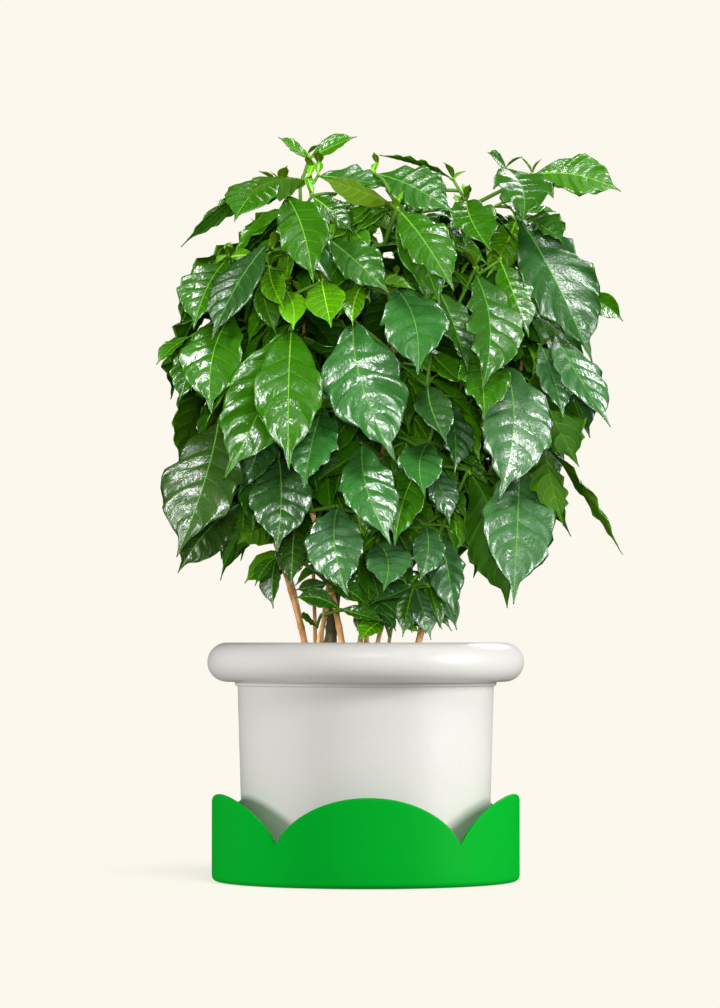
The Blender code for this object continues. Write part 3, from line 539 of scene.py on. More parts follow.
def leaf_frame(leaf, t):
    """A point on the midrib, the way across the blade there and its upper normal."""
    length = (leaf.tip - leaf.base).length
    control = leaf.base.lerp(leaf.tip, LEAF_BOW_AT) + leaf.facing * length * LEAF_BOW
    point = quadratic(leaf.base, control, leaf.tip, t)
    along = (control - leaf.base).lerp(leaf.tip - control, t).normalized()
    side = along.cross(leaf.facing).normalized()
    normal = side.cross(along)
    turned = side * math.cos(leaf.turn) + normal * math.sin(leaf.turn)
    return point, turned, turned.cross(along)


def half_width(leaf, t):
    """Widest a little before the middle, and drawn out to the tip."""
    return leaf.width / 2 * math.sin(math.pi * t ** 0.8) ** 0.75


def leaf_ring(leaf, t, room):
    """Left edge, upper midrib, right edge and lower midrib."""
    point, side, normal = leaf_frame(leaf, t)
    half = half_width(leaf, t)
    thick = (leaf.tip - leaf.base).length * LEAF_THICK / 2 + room
    edge = normal * half * LEAF_FOLD
    return [point - side * (half + room) + edge, point + normal * thick,
            point + side * (half + room) + edge, point - normal * thick]


def blade_rings(leaf, room=0.0):
    return [leaf_ring(leaf, t, room) for t in LEAF_STRETCHES] + [[leaf.tip]]


def leaf_rings(leaf, room=0.0):
    """The blade, and its stalk down to the root in the twig."""
    _, side, normal = leaf_frame(leaf, 0.0)
    radius = PETIOLE_RADIUS + room / 2
    root = [leaf.root - side * radius, leaf.root + normal * radius,
            leaf.root + side * radius, leaf.root - normal * radius]
    return [root] + blade_rings(leaf, room)


def grow_leaf(node, tip, facing, width, turn):
    reach = tip - node
    base = node + reach * PETIOLE_SHARE + UP * PETIOLE_ARCH * reach.length
    return Leaf(node, base, tip, facing.normalized(), width, turn)


def hung_leaf(node, view, age, across, rise, seen_width, lift, bias):
    """A leaf by how it looks from the side that the view points to. Where it looks short for
    its width it points at the viewer, and where it looks narrow it turns its edge."""
    seen = math.hypot(across, rise)
    width = abs(seen_width)
    slender = mix(LEAF_SLENDER_YOUNG, LEAF_SLENDER_OLD, age)
    length = min(max(width / slender, LEAF_LEAN * seen), LEAF_LONGEST)
    out = math.sqrt(max(length ** 2 - seen ** 2, 0)) + lift * seen
    sideways = Vector((-view.y, view.x, 0))
    tip = node + sideways * across + UP * rise + view * out
    turn = math.acos(min(width / (slender * length), 1.0)) * bias
    if seen_width < 0:
        turn += math.pi
    aside = sideways.dot(node - Vector((CROWN_X, 0, 0))) / CROWN_HALF_WIDTH
    facing = view * FACE_OUT + UP * FACE_UP + sideways * FACE_ASIDE * aside
    return grow_leaf(node, tip, facing, max(width, slender * length), turn)


def spread_leaf(node, bearing, droop, length, turn):
    """A leaf that reaches out along a bearing and hangs by its droop."""
    out = Vector((math.cos(bearing), math.sin(bearing), 0))
    tip = node + (out * math.cos(droop) - UP * math.sin(droop)) * length
    facing = UP * math.cos(droop) + out * math.sin(droop)
    return grow_leaf(node, tip, facing, length * LEAF_SLENDER_OLD, turn)


def marks(leaf, t=0.5):
    """A leaf's root, a point on its midrib and its tip."""
    return leaf.root, leaf_frame(leaf, t)[0], leaf.tip


# Limbs

def limb_path(limb):
    """Points of a limb from its flat cut at the ground, where it stands upright, to its tip."""
    foot = Vector((*limb.foot, GROUND_Z))
    tip = Vector(limb.tip)
    upright = foot + UP * UPRIGHT_FOOT
    length = (tip - upright).length
    control = foot.lerp(tip, 0.5) + UP * LIMB_ARCH * length
    count = max(round(length / LIMB_STEP), 2)
    return [foot] + [quadratic(upright, control, tip, step / count) for step in range(count + 1)]


def limb_radii(limb, points):
    """An even taper, with a flare where the limb meets the ground."""
    rise = points[-1].z - points[0].z
    radii = []
    for point in points:
        height = point.z - points[0].z
        flare = 1 + LIMB_FLARE * math.exp(-height / (LIMB_FLARE_RISE * limb.radius))
        radii.append(mix(limb.radius, limb.tip_radius, height / rise) * flare)
    return radii


# Stems and twigs of the masses

def stem_path(limb):
    """A mass's own stem, on from its limb's tip and a clearance away from it."""
    points = limb_path(limb)
    along = (points[-1] - points[-2]).normalized()
    start = points[-1] + along * CLEARANCE
    straight = start + along * STEM_START
    top = Vector(limb.top)
    control = straight + along * (top - straight).length * LEAF_BOW_AT
    return [start] + [quadratic(straight, control, top, step / STEM_STEPS)
                      for step in range(STEM_STEPS + 1)]


def twig_path(start, end, sag):
    control = start.lerp(end, 0.5) + UP * sag * (end - start).length
    return [quadratic(start, control, end, step / TWIG_STEPS) for step in range(TWIG_STEPS + 1)]


def twig_skin(points, mass_name):
    """The space of a twig, but for the stretch inside the limb that it grows on."""
    free = [points[0].lerp(points[1], 0.2)] + points[1:]
    return tube_skin(free, [TWIG_RADIUS] * len(free), TWIG_ROOM, TWIG_SIDES, "twig", mass_name)


def add_tube(mass, points, radii, sides, placed):
    mass.twigs.append((points, radii))
    placed.append(tube_skin(points, radii, TWIG_ROOM, sides, "twig", mass.name))


def add_twig(mass, points, placed):
    """A twig that is pinched where it leaves its parent and runs a little past its last node."""
    past = points[-1] + (points[-1] - points[-2]).normalized() * TWIG_RADIUS * 0.6
    radii = [TWIG_RADIUS * 0.5] + [TWIG_RADIUS] * (len(points) - 1)
    add_tube(mass, points[:-1] + [past], radii, TWIG_SIDES, placed)
    mass.network.extend(points[1:])


def leaf_skins(leaf, mass_name, room=LEAF_ROOM):
    whole = make_skin(leaf_rings(leaf, room), "leaf", mass_name)
    return whole, make_skin(blade_rings(leaf, room), "blade", mass_name)


def add_leaves(mass, leaves, placed, age=None, tones=None, fine=True):
    """Each leaf goes with its turn in the growth, its age, its green and which grid it takes."""
    for leaf, tone in zip(leaves, tones or [None] * len(leaves)):
        mass.leaves.append((len(placed), leaf, age, tone, fine))
        placed.extend(leaf_skins(leaf, mass.name))


def start_masses(placed):
    """The limbs take their space, and each mass gets the stem that climbs on from its limb."""
    masses = []
    for limb in LIMBS:
        points = limb_path(limb)
        placed.append(tube_skin(points, limb_radii(limb, points), LIMB_ROOM, 6, "limb", None))
        path = stem_path(limb)
        mass = Mass(limb.mass, limb.top[2], path[1:], list(path[1:]), [], [])
        end = min(limb.tip_radius, STEM_END_RADIUS)
        radii = [mix(limb.tip_radius, end, step / (len(path) - 1)) for step in range(len(path))]
        add_tube(mass, path, radii, STEM_SIDES, placed)
        masses.append(mass)
    return masses


# Growth

def fit_leaf(options, siblings, placed, mass_name=None, room=LEAF_ROOM):
    """The first of some ways to hold a leaf that touches nothing but the twig it grows on. Its
    blade then joins its siblings."""
    def ignored_by_leaf(other):
        return other.kind == "blade" or other.mass == mass_name and other.kind == "twig"

    def ignored_by_blade(other):
        return other.kind != "twig" or other.mass != mass_name

    for leaf in options:
        whole, blade = leaf_skins(leaf, mass_name, room)
        if touches(whole, placed, ignored_by_leaf) or touches(blade, placed, ignored_by_blade):
            continue
        if not any(blade.tree.overlap(sibling.tree) for sibling in siblings):
            siblings.append(blade)
            return leaf
    return None


def place_leaves(spot, view, age, tips, index, placed, allowed):
    """The leaves of one node and their places among its tips. The node moves toward the viewer
    until they lie over the leaves below them."""
    best = []
    for push in range(PUSHES):
        node = spot + view * PUSH * push
        held, siblings = [], []
        for order, (across, rise, width) in enumerate(tips):
            bias = 1 if (index + order) % 2 else -1
            options = [hung_leaf(node, view, age, across, rise, width, lift, side)
                       for lift in LEAF_LIFTS for side in (bias, -bias)]
            leaf = fit_leaf(filter(allowed, options), siblings, placed)
            if leaf:
                held.append((order, leaf))
        if len(held) > len(best):
            best = held
        if len(held) == len(tips):
            break
    return best


def route_twig(node, masses, placed):
    """A twig to a node from the nearest place on a mass that it can reach without a touch."""
    ways = []
    for mass in masses:
        if node.z > mass.top + REACH_ABOVE:
            continue
        stray = min((node - point).length for point in mass.stem)
        for start in mass.network:
            rise = node.z - start.z
            fall = FALL_COST - rise if rise < RISE_LEAST else 0.0
            ways.append(((node - start).length + STRAY_COST * stray + fall, start, mass))
    ways.sort(key=lambda way: way[0])
    for leaves_block in (True, False):
        for _, start, mass in ways[:ROUTE_TRIES]:
            def ignored(other, name=mass.name):
                own = other.mass == name
                return other.kind == "blade" or own and (other.kind == "twig" or not leaves_block)

            for sag in TWIG_SAGS:
                points = twig_path(start, node, sag)
                if not touches(twig_skin(points, mass.name), placed, ignored):
                    return mass, points
    return None


def grow_node(masses, placed, spot, view, age, tips, index, allowed, tones=None):
    """A twig with a few leaves at its end."""
    held = place_leaves(spot, view, age, tips, index, placed, allowed)
    found = held and route_twig(held[0][1].root, masses, placed)
    if found:
        mass, points = found
        add_twig(mass, points, placed)
        greens = tones and [int(tones[order]) for order, _ in held]
        add_leaves(mass, [leaf for _, leaf in held], placed, age, greens)


def drawn_in(x, y, z):
    """Where something at a depth lies, that the camera sees at a place over the crown's middle."""
    share = (CAMERA_AWAY + y) / CAMERA_AWAY
    return Vector((mix(CAMERA_X, x, share), y, mix(CAMERA_Z, z, share)))


def grow_shown(masses, placed):
    """The nodes that face the viewer, lowest first, so that each lies over those below."""
    view = Vector((0, -1, 0))
    for index, (x, z, age, tones, tips) in enumerate(SHOWN):
        x, z = x / 1000, z / 1000
        spot = drawn_in(x, -FRONT_SHARE * depth_at(x, z), z)
        ends = [(drawn_in(tip_x / 1000, spot.y - TIP_OUT, tip_z / 1000), width / 1000)
                for tip_x, tip_z, width in tips]
        moves = [(end.x - spot.x, end.z - spot.z, width) for end, width in ends]
        grow_node(masses, placed, spot, view, age, moves, index, lambda leaf: True, tones)


def in_space(leaf):
    return all(in_drawn_space(point) for point in marks(leaf, 0.6))


def height_in_crown(z):
    return (z - DRAWN_FOOT) / (DRAWN_TOP - DRAWN_FOOT)


def age_at(height, oldest, less, drift, draw):
    """A leaf's age by its height in the crown, as the lower ones are older."""
    return min(max(oldest - less * height + draw.uniform(*drift), 0.3), 1.0)


def draw_tip(draw, z, height, way):
    """How far a drawn leaf's tip lies aside of its node and below it, and its width as seen."""
    length = LEAF_LENGTH * draw.uniform(*SHELL_LENGTHS)
    least = math.acos(min((z - DRAWN_FOOT - TIP_ROOM) / length, 1.0))
    slant = way * max(math.radians(draw.uniform(*SHELL_SLANTS) + SHELL_SPREAD * height), least)
    face = LEAF_SLENDER_OLD * draw.choice(SHELL_FACES)
    return length * math.sin(slant), -length * math.cos(slant), length * face


def grow_shell(masses, placed):
    """Nodes round the sides and the back of the crown, in rows from its foot to its top."""
    draw = random.Random(SEED)
    for row in range(SHELL_ROWS):
        height = row / (SHELL_ROWS - 1)
        z = mix(SHELL_FOOT, SHELL_TOP, height)
        reach = crown_share(z) * SHELL_SHARE
        arc_length = SHELL_ARC * reach * (CROWN_HALF_WIDTH + CROWN_HALF_DEPTH)
        count = round(arc_length / SHELL_SPACING)
        for step in range(count):
            share = (step + 0.5 * (row % 2) + 0.25 + draw.uniform(-0.2, 0.2)) / count
            bearing = math.pi / 2 + SHELL_ARC * (2 * share - 1)
            out = Vector((math.cos(bearing), math.sin(bearing), 0))
            spot = Vector((CROWN_X + reach * CROWN_HALF_WIDTH * out.x,
                           reach * CROWN_HALF_DEPTH * out.y, z + draw.uniform(-0.008, 0.008)))
            tips = [draw_tip(draw, z, height, way) for way in (1, -1)]
            age = age_at(height, 1.0, 0.4, (-0.3, 0.1), draw)
            grow_node(masses, placed, spot, out, age, tips, step, in_space)


def grow_pair(mass, node, bearing, draw, placed):
    """Two opposite leaves on a stem, each held in the first way that keeps to its space."""
    height = height_in_crown(node.z)
    leaves, siblings = [], []
    for half_turn in (0, math.pi):
        droop = math.radians(mix(*PAIR_DROOPS, height) + draw.uniform(-8, 8))
        length = LEAF_LENGTH * draw.uniform(*PAIR_LENGTHS) * (1 - 0.25 * max(height - 0.6, 0))
        toward = bearing + half_turn + draw.uniform(-0.25, 0.25)
        turn = draw.uniform(-0.35, 0.35)
        options = [spread_leaf(node, toward + swing, droop - lift, length * size, turn)
                   for size in PAIR_SIZES for lift in PAIR_LIFTS for swing in PAIR_SWINGS]
        leaf = fit_leaf(filter(in_space, options), siblings, placed, mass.name)
        if leaf:
            leaves.append(leaf)
    add_leaves(mass, leaves, placed)


def grow_tops(masses, placed):
    """Pairs near the top of each stem, each pair a quarter turn on from the last."""
    draw = random.Random(SEED + 1)
    for mass in masses:
        bearing = draw.uniform(0, math.pi)
        for t in TOP_PAIRS:
            bearing += math.pi / 2 + draw.uniform(-0.3, 0.3)
            node = mass.stem[int(t)].lerp(mass.stem[int(t) + 1], t - int(t))
            if node.z > DRAWN_FOOT:
                grow_pair(mass, node, bearing, draw, placed)


def well_inside(leaf):
    """Behind the leaves that face the viewer and a little inside the crown."""
    for point in marks(leaf):
        outward = Vector((CROWN_X, 0, point.z)) - point
        if not in_drawn_space(point - outward * 0.12):
            return False
        if point.y < FILL_BEHIND - FRONT_SHARE * depth_at(point.x, point.z):
            return False
    return True


def near_foot(leaf):
    """Among the stems, under the crown's middle."""
    return all(FOOT_LOW < point.z < FOOT_HIGH and FOOT_LEFT < point.x < FOOT_RIGHT
               and FOOT_FRONT < point.y < FOOT_BACK for point in marks(leaf))


def grow_fill(masses, placed, seed, tries, low, high, lengths, tones, allowed):
    """Finer twigs with leaves that hang outward in the gaps of the rule's."""
    draw = random.Random(seed)
    for mass in masses:
        starts = [point for point in mass.network if low < point.z < high]
        for _ in range(tries if starts else 0):
            start = draw.choice(starts)
            bearing = draw.uniform(0, math.tau)
            out = Vector((math.cos(bearing), math.sin(bearing), draw.uniform(*FILL_RISES)))
            node = start + out.normalized() * draw.uniform(*FILL_REACHES)
            view = Vector((node.x - CROWN_X, node.y - FILL_BACK, 0)).normalized()
            age = draw.uniform(*FILL_AGES)
            leaves, siblings = [], []
            for way in (1, -1):
                length = draw.uniform(*lengths)
                slant = way * math.radians(draw.uniform(*FILL_SLANTS))
                seen = length * LEAF_SLENDER_OLD * draw.choice(FILL_FACES)
                options = (hung_leaf(node, view, age, size * length * math.sin(slant),
                                     -size * length * math.cos(slant), size * seen, lift, way)
                           for size in FILL_SIZES for lift in LEAF_LIFTS[:3])
                leaf = fit_leaf(filter(allowed, options), siblings, placed, mass.name, FILL_ROOM)
                if leaf:
                    leaves.append(leaf)
            if leaves:
                path = twig_path(start, node, FILL_SAG)
                mass.twigs.append((path, [TWIG_RADIUS] * len(path)))
                add_leaves(mass, leaves, placed, age, [draw.choice(tones) for _ in leaves], False)


def grow_buds(masses, placed):
    """A pair of young leaves just opening at the end of each high twig."""
    draw = random.Random(SEED + 5)
    for mass in masses:
        for end in [points[-1] for points, _ in mass.twigs if points[-1].z > BUD_ABOVE]:
            bearing = draw.uniform(0, math.pi)
            leaves = [spread_leaf(end, bearing + half_turn, -draw.uniform(0.5, 1.2),
                                  draw.uniform(*BUD_LENGTHS), draw.uniform(-0.4, 0.4))
                      for half_turn in (0, math.pi)]
            add_leaves(mass, leaves, placed, 0.05, [draw.choice((0, 1)) for _ in leaves], False)


# Profiles of the pot and the saucer

def arc(centre_r, centre_z, radius, start, end, count):
    """Points of an arc in a profile, with its angles in degrees from +r toward +z."""
    angles = (math.radians(start + (end - start) * step / count) for step in range(count + 1))
    return [(centre_r + radius * math.cos(a), centre_z + radius * math.sin(a)) for a in angles]


def saucer_height(angle):
    """The scalloped edge: each petal falls away round its peak to a dip at either side."""
    petal = math.tau / PETALS
    from_front = angle + math.pi / 2 - PETAL_TURN
    u = abs((from_front + petal / 2) % petal - petal / 2) / (petal / 2)
    return SAUCER_DIP + (SAUCER_PEAK - SAUCER_DIP) * max(1 - u * u, 0) ** PETAL_ROUND


# Meshes gathered from grids of points

class Gather:
    """Points and quads of one piece, with the material slot that each quad takes."""

    def __init__(self):
        self.points = []
        self.quads = []
        self.slots = []
        self.places = []
        self.count = 0

    def add(self, points, quads, slots, places=None):
        self.points.append(points.reshape(-1, 3))
        self.places.append(np.zeros((len(self.points[-1]), 2)) if places is None else places)
        self.quads.append(quads + self.count)
        self.slots.append(slots)
        self.count += len(self.points[-1])

    def piece(self, name, materials, nodes, slot_name):
        points = np.concatenate(self.points).astype(np.float32)
        quads = np.concatenate(self.quads).astype(np.int32)
        mesh = bpy.data.meshes.new(name)
        mesh.vertices.add(len(points))
        mesh.vertices.foreach_set("co", points.ravel())
        mesh.loops.add(quads.size)
        mesh.loops.foreach_set("vertex_index", quads.ravel())
        mesh.polygons.add(len(quads))
        mesh.polygons.foreach_set("loop_start", np.arange(len(quads), dtype=np.int32) * 4)
        mesh.polygons.foreach_set("material_index", np.concatenate(self.slots).astype(np.int32))
        mesh.polygons.foreach_set("use_smooth", np.ones(len(quads), dtype=bool))
        corners = np.concatenate(self.places)[quads.ravel()].astype(np.float32)
        mesh.uv_layers.new(name="places").data.foreach_set("uv", corners.ravel())
        mesh.update(calc_edges=True)
        mesh.validate()
        for material in materials:
            mesh.materials.append(material)
        thing = bpy.data.objects.new(name, mesh)
        bpy.context.scene.collection.objects.link(thing)
        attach(thing, "root")
        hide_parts(*nodes)


def add_piece(name, points, quads, material, node, slot_name):
    """A piece that is one grid of one material."""
    gather = Gather()
    gather.add(points, quads, np.zeros(len(quads)))
    gather.piece(name, [material], [node], slot_name)


def grid_quads(rows, columns, closed=False):
    """Quads of a grid whose points run along its columns first."""
    last = columns if closed else columns - 1
    row, column = np.meshgrid(np.arange(rows - 1), np.arange(last), indexing="ij")
    after = (column + 1) % columns
    return np.stack([row * columns + column, row * columns + after,
                     (row + 1) * columns + after, (row + 1) * columns + column],
                    axis=-1).reshape(-1, 4)


def add_pipe(gather, points, radii, sides, slot, slot_above=None):
    """A closed pipe along some points, drawn in to almost a point at both ends. Its slot may
    change above a height."""
    before = points[0] + (points[0] - points[1]).normalized() * 0.0001
    beyond = points[-1] + (points[-1] - points[-2]).normalized() * radii[-1] * 0.5
    path = [before, *points, beyond]
    radii = [radii[0] * PIPE_CLOSE, *radii, radii[-1] * PIPE_CLOSE]
    rings = np.array([[tuple(point) for point in ring] for ring in tube_rings(path, radii, sides)])
    quads = grid_quads(len(path), sides, closed=True)
    slots = np.full(len(quads), slot)
    if slot_above is not None:
        heights = np.repeat(rings[:-1, :, 2].mean(axis=1), sides)
        slots[heights > GREEN_ABOVE] = slot_above
    gather.add(rings, quads, slots)


# Detailed leaves

Grid = namedtuple("Grid", "centre shift across wave quads kinds low_quads edge")


def leaf_grid(pairs, splits, columns):
    """Rows of a blade that follow its side veins, with a narrow strip for each vein. A row has
    its place along the blade, its shift to one edge of a strip, how far it is out of the veins,
    and whether it ends a strip."""
    veins = [mix(VEIN_FIRST, VEIN_LAST, (k / (pairs - 1)) ** 0.95) for k in range(pairs)]
    edges = [0.0] + veins + [1.0]
    rows = [(0.0, 0.0, 0.0, False)]
    for number, (low, high) in enumerate(zip(edges, edges[1:])):
        at_tip = number == pairs
        parts = splits + 2 if at_tip else splits
        rows += [(mix(low, high, step / parts), 0.0, math.sin(math.pi * step / parts) ** 0.8, False)
                 for step in range(1, parts)]
        rows += [(high, 0.0, 0.0, False)] if at_tip else [(high, -1.0, 0.0, False),
                                                          (high, 1.0, 0.0, True)]
    centre, shift, wave, ends_strip = (np.array(values) for values in zip(*rows))
    across = np.array([-value for value in reversed(columns)] + list(columns))
    count = len(across)
    total = len(rows) * count
    quads = grid_quads(len(rows), count)
    row_of = np.repeat(np.arange(len(rows) - 1), count - 1)
    column_of = np.tile(np.arange(count - 1), len(rows) - 1)
    kinds = np.full(len(quads), BLADE)
    kinds[ends_strip[row_of + 1] & (column_of > 1) & (column_of < count - 3)] = VEIN
    kinds[(column_of == 0) | (column_of == count - 2)] = RIM
    kinds[column_of == count // 2 - 1] = MIDRIB
    edge = np.zeros((len(rows), count), dtype=bool)
    edge[0, :] = edge[-1, :] = edge[:, 0] = edge[:, -1] = True
    flat = edge.ravel()
    low_index = np.arange(total)
    low_index[~flat] = total + np.arange((~flat).sum())
    return Grid(centre[:, None], shift[:, None], across[None, :], wave[:, None], quads, kinds,
                low_index[quads[:, [0, 3, 2, 1]]], edge)


def outline(t):
    """Half the width of a blade as a share of its widest: a full body and a drawn-out tip."""
    t = np.clip(t, 0.0, 1.0)
    body = np.sin(np.pi * np.clip(t / TIP_FROM, 0, 1) ** BLADE_WIDEST) ** BLADE_FULL
    drip = np.where(t > 0.5, TIP_WIDTH * np.minimum((1 - t) / (1 - TIP_START), 1.0), 0.0)
    return (body ** 3 + drip ** 3) ** (1 / 3)


def eased(turn):
    """A blade that another half hides lies flatter than one that shows its edge."""
    under = round(turn / math.pi) * math.pi
    aside = turn - under
    return under + aside * (TURN_EASE if abs(aside) < TURN_EDGE else 1.0)


def smooth_blade(leaf, grid, look):
    """Points of a blade's upper surface on a grid, and the way up at each. Across a half blade a
    runs from the midrib to the edge. Along it u is a row's place, and t where the sweep of the
    side veins carries it."""
    base, tip, facing = (np.array(value) for value in (leaf.base, leaf.tip, leaf.facing))
    length = np.linalg.norm(tip - base)
    control = base + (tip - base) * LEAF_BOW_AT + facing * length * LEAF_BOW
    half = min(leaf.width, BLADE_WIDTH) / 2 * look["wide"]
    sign = np.where(np.arange(grid.across.size) < grid.across.size // 2, -1.0, 1.0)[None, :]
    ribbed = MIDRIB_HALF * (1.3 - grid.centre) / (half * outline(grid.centre) + 1e-6)
    ribbed = np.clip(ribbed, 0.0, 0.45)
    a = ribbed + (1 - ribbed) * np.abs(grid.across)
    u = grid.centre + grid.shift * VEIN_HALF * (1 - 0.6 * a) / length
    stagger = look["stagger"] * sign * 4 * u * (1 - u)
    t = np.clip(u + (VEIN_SWEEP * a ** 1.35 + stagger) * 4 * u * (1 - u), 0, 1)
    width = np.maximum(half * outline(t), BLADE_LEAST)
    beat = np.where(sign > 0, look["other"], look["phase"])
    scallop = (np.sin(math.tau * (look["scallops"] * u + beat))
               + 0.6 * np.sin(math.tau * (1.9 * look["scallops"] * u - beat)))
    width = width * (1 - look["lobes"] * (1 - grid.wave - 0.6 * scallop) * a ** 3)
    point = ((1 - t) ** 2)[..., None] * base + (2 * t * (1 - t))[..., None] * control
    point = point + (t ** 2)[..., None] * tip
    along = (1 - t)[..., None] * (control - base) + t[..., None] * (tip - control)
    along /= np.linalg.norm(along, axis=-1, keepdims=True)
    side = np.cross(along, facing)
    side /= np.linalg.norm(side, axis=-1, keepdims=True)
    normal = np.cross(side, along)
    angle = (eased(leaf.turn) + look["twist"] * (t - 0.35))[..., None]
    turned = side * np.cos(angle) + normal * np.sin(angle)
    up = np.cross(turned, along)
    share = width / half
    rise = LEAF_FOLD * look["fold"] * a ** 1.2
    rise = rise + look["bulge"] * (grid.wave - 0.5) * np.clip(a * 4, 0, 1) * (1 - a ** 4) * share ** 0.5
    ripple = np.sin(2 * np.pi * (look["ripples"] * u + np.where(sign > 0, look["phase"], look["other"])))
    rise = rise + look["ripple"] * ripple * a ** 2.6 * share ** 0.4
    rise = rise - look["curl"] * np.clip((a - 0.86) / 0.14, 0, 1) ** 2
    rise = rise - GUTTER * np.clip(1 - a * 5, 0, 1)
    reach = a * np.sqrt(np.clip(1 - (rise * 0.7) ** 2, 0.5, 1))
    bend = look["bend"] * length * 4 * t * (1 - t)
    points = (point + turned * (sign * reach * width + bend)[..., None]
              + up * (rise * half * share ** 0.6)[..., None])
    places = np.stack(np.broadcast_arrays(u * length, sign * reach * width), axis=-1)
    return points, up, places


def add_blade(gather, leaf, grid, look, slots):
    """Both surfaces of a blade. The slots are those of its blade, vein, rim and midrib above,
    and of its blade and its ribs below."""
    above, up, places = smooth_blade(leaf, grid, look)
    below = above[~grid.edge] - up[~grid.edge] * BLADE_THICK
    points = np.concatenate([above.reshape(-1, 3), below])
    top = np.array(slots[:4])[grid.kinds]
    bottom = np.where(grid.kinds == BLADE, slots[4], slots[5])
    places = np.concatenate([places.reshape(-1, 2), places[~grid.edge]])
    quads = np.concatenate([grid.quads, grid.low_quads])
    gather.add(points, quads, np.concatenate([top, bottom]), places)


# Materials

def srgb(red, green, blue):
    """A colour by its levels from 0 to 255 on a screen."""
    return tuple((level / 255 / 12.92) if level <= 10 else ((level / 255 + 0.055) / 1.055) ** 2.4
                 for level in (red, green, blue))


def principled(name, colour, roughness, **sockets):
    material = bpy.data.materials.new(name)
    material.use_nodes = True
    shader = material.node_tree.nodes["Principled BSDF"]
    shader.inputs["Base Color"].default_value = (*colour, 1.0)
    shader.inputs["Roughness"].default_value = roughness
    for socket, value in sockets.items():
        shader.inputs[socket.replace("_", " ")].default_value = value
    return material


def add_node(material, kind, **values):
    """A node. The name of an input gives it a value or another node's output, and any other name
    is a setting."""
    node = material.node_tree.nodes.new(kind)
    for name, value in values.items():
        socket = node.inputs.get(name.replace("_", " "))
        if socket is None:
            setattr(node, name, value)
        elif isinstance(value, bpy.types.NodeSocket):
            material.node_tree.links.new(value, socket)
        else:
            socket.default_value = value
    return node


def place_of(material, kind="Object"):
    return add_node(material, "ShaderNodeTexCoord").outputs[kind]


def noise_of(material, scale, detail, roughness=0.55, stretch=None, places="Object"):
    """Noise in the object's own metres, or in those of each leaf."""
    place = place_of(material, places)
    if stretch:
        place = add_node(material, "ShaderNodeMapping", Vector=place, Scale=stretch).outputs["Vector"]
    return add_node(material, "ShaderNodeTexNoise", Vector=place, Scale=scale, Detail=detail,
                    Roughness=roughness).outputs["Fac"]


def ramp_of(material, source, stops):
    ramp = add_node(material, "ShaderNodeValToRGB", Fac=source)
    elements = ramp.color_ramp.elements
    while len(elements) < len(stops):
        elements.new(0.5)
    for element, (position, colour) in zip(elements, stops):
        element.position = position
        element.color = (*srgb(*colour), 1.0)
    return ramp.outputs["Color"]


def range_of(material, source, low, high, start=0.3, end=0.7):
    return add_node(material, "ShaderNodeMapRange", Value=source, From_Min=start, From_Max=end,
                    To_Min=low, To_Max=high).outputs["Result"]


def set_bump(material, layers):
    """Bumps on bumps: each layer is a height, its strength and its depth in metres."""
    below = {}
    for height, strength, distance in layers:
        bump = add_node(material, "ShaderNodeBump", Height=height, Strength=strength,
                        Distance=distance, **below)
        below = {"Normal": bump.outputs["Normal"]}
    set_input(material, "Normal", below["Normal"])


def set_input(material, name, source):
    material.node_tree.links.new(source, material.node_tree.nodes["Principled BSDF"].inputs[name])


def vary_roughness(material, scale, detail, low, high):
    spread = range_of(material, noise_of(material, scale, detail), low, high)
    set_input(material, "Roughness", spread)


def blade_material(name, colour, low, high, ior):
    """A leaf's glossy upper side, with fine puckers and worn patches in its gloss."""
    material = principled(name, colour, 0.3, IOR=ior)
    vary_roughness(material, 130, 3, low, high)
    streaks = noise_of(material, 1.0, 3, 0.6, (1500.0, 260.0, 1.0), "UV")
    net = add_node(material, "ShaderNodeTexVoronoi", feature="DISTANCE_TO_EDGE", Scale=NET_SCALE,
                   Vector=place_of(material, "UV"))
    set_bump(material, ((noise_of(material, 200, 2), 0.4, 0.0008),
                        (net.outputs["Distance"], 0.35, 0.0010), (streaks, 0.4, 0.0003)))
    return material


def plain_leaf_material(name, colour, roughness):
    material = principled(name, colour, roughness, IOR=1.4, Specular_IOR_Level=0.08)
    set_bump(material, ((noise_of(material, 500, 2), 0.3, 0.0003),))
    return material


def glaze_material():
    material = principled("glaze", GLAZE, 0.3, IOR=1.45)
    vary_roughness(material, 22, 2, 0.26, 0.36)
    set_bump(material, ((noise_of(material, 18, 2), 0.2, 0.0008),
                        (noise_of(material, 420, 1), 0.06, 0.0002)))
    return material


def saucer_material():
    material = principled("saucer", SAUCER_GREEN, 0.55, IOR=1.45, Specular_IOR_Level=0.05)
    vary_roughness(material, 90, 2, 0.42, 0.56)
    set_bump(material, ((noise_of(material, 900, 2), 0.15, 0.00015),))
    return material


def bark_material(name):
    material = principled(name, srgb(*BARKS[name][0][1]), 0.75)
    tone = ramp_of(material, noise_of(material, 150, 5, 0.65, (1.0, 1.0, 0.35)), BARKS[name])
    set_input(material, "Base Color", tone)
    vary_roughness(material, 300, 2, 0.6, 0.9)
    set_bump(material, ((noise_of(material, 700, 3, 0.6, (1.0, 1.0, 0.3)), 0.6, 0.0006),))
    return material


def soil_material():
    material = principled("soil", srgb(52, 38, 28), 0.95)
    set_input(material, "Base Color", ramp_of(material, noise_of(material, 260, 4), SOIL_TONES))
    set_bump(material, ((noise_of(material, 600, 4), 0.8, 0.001),))
    return material


# Limbs with the bark's relief

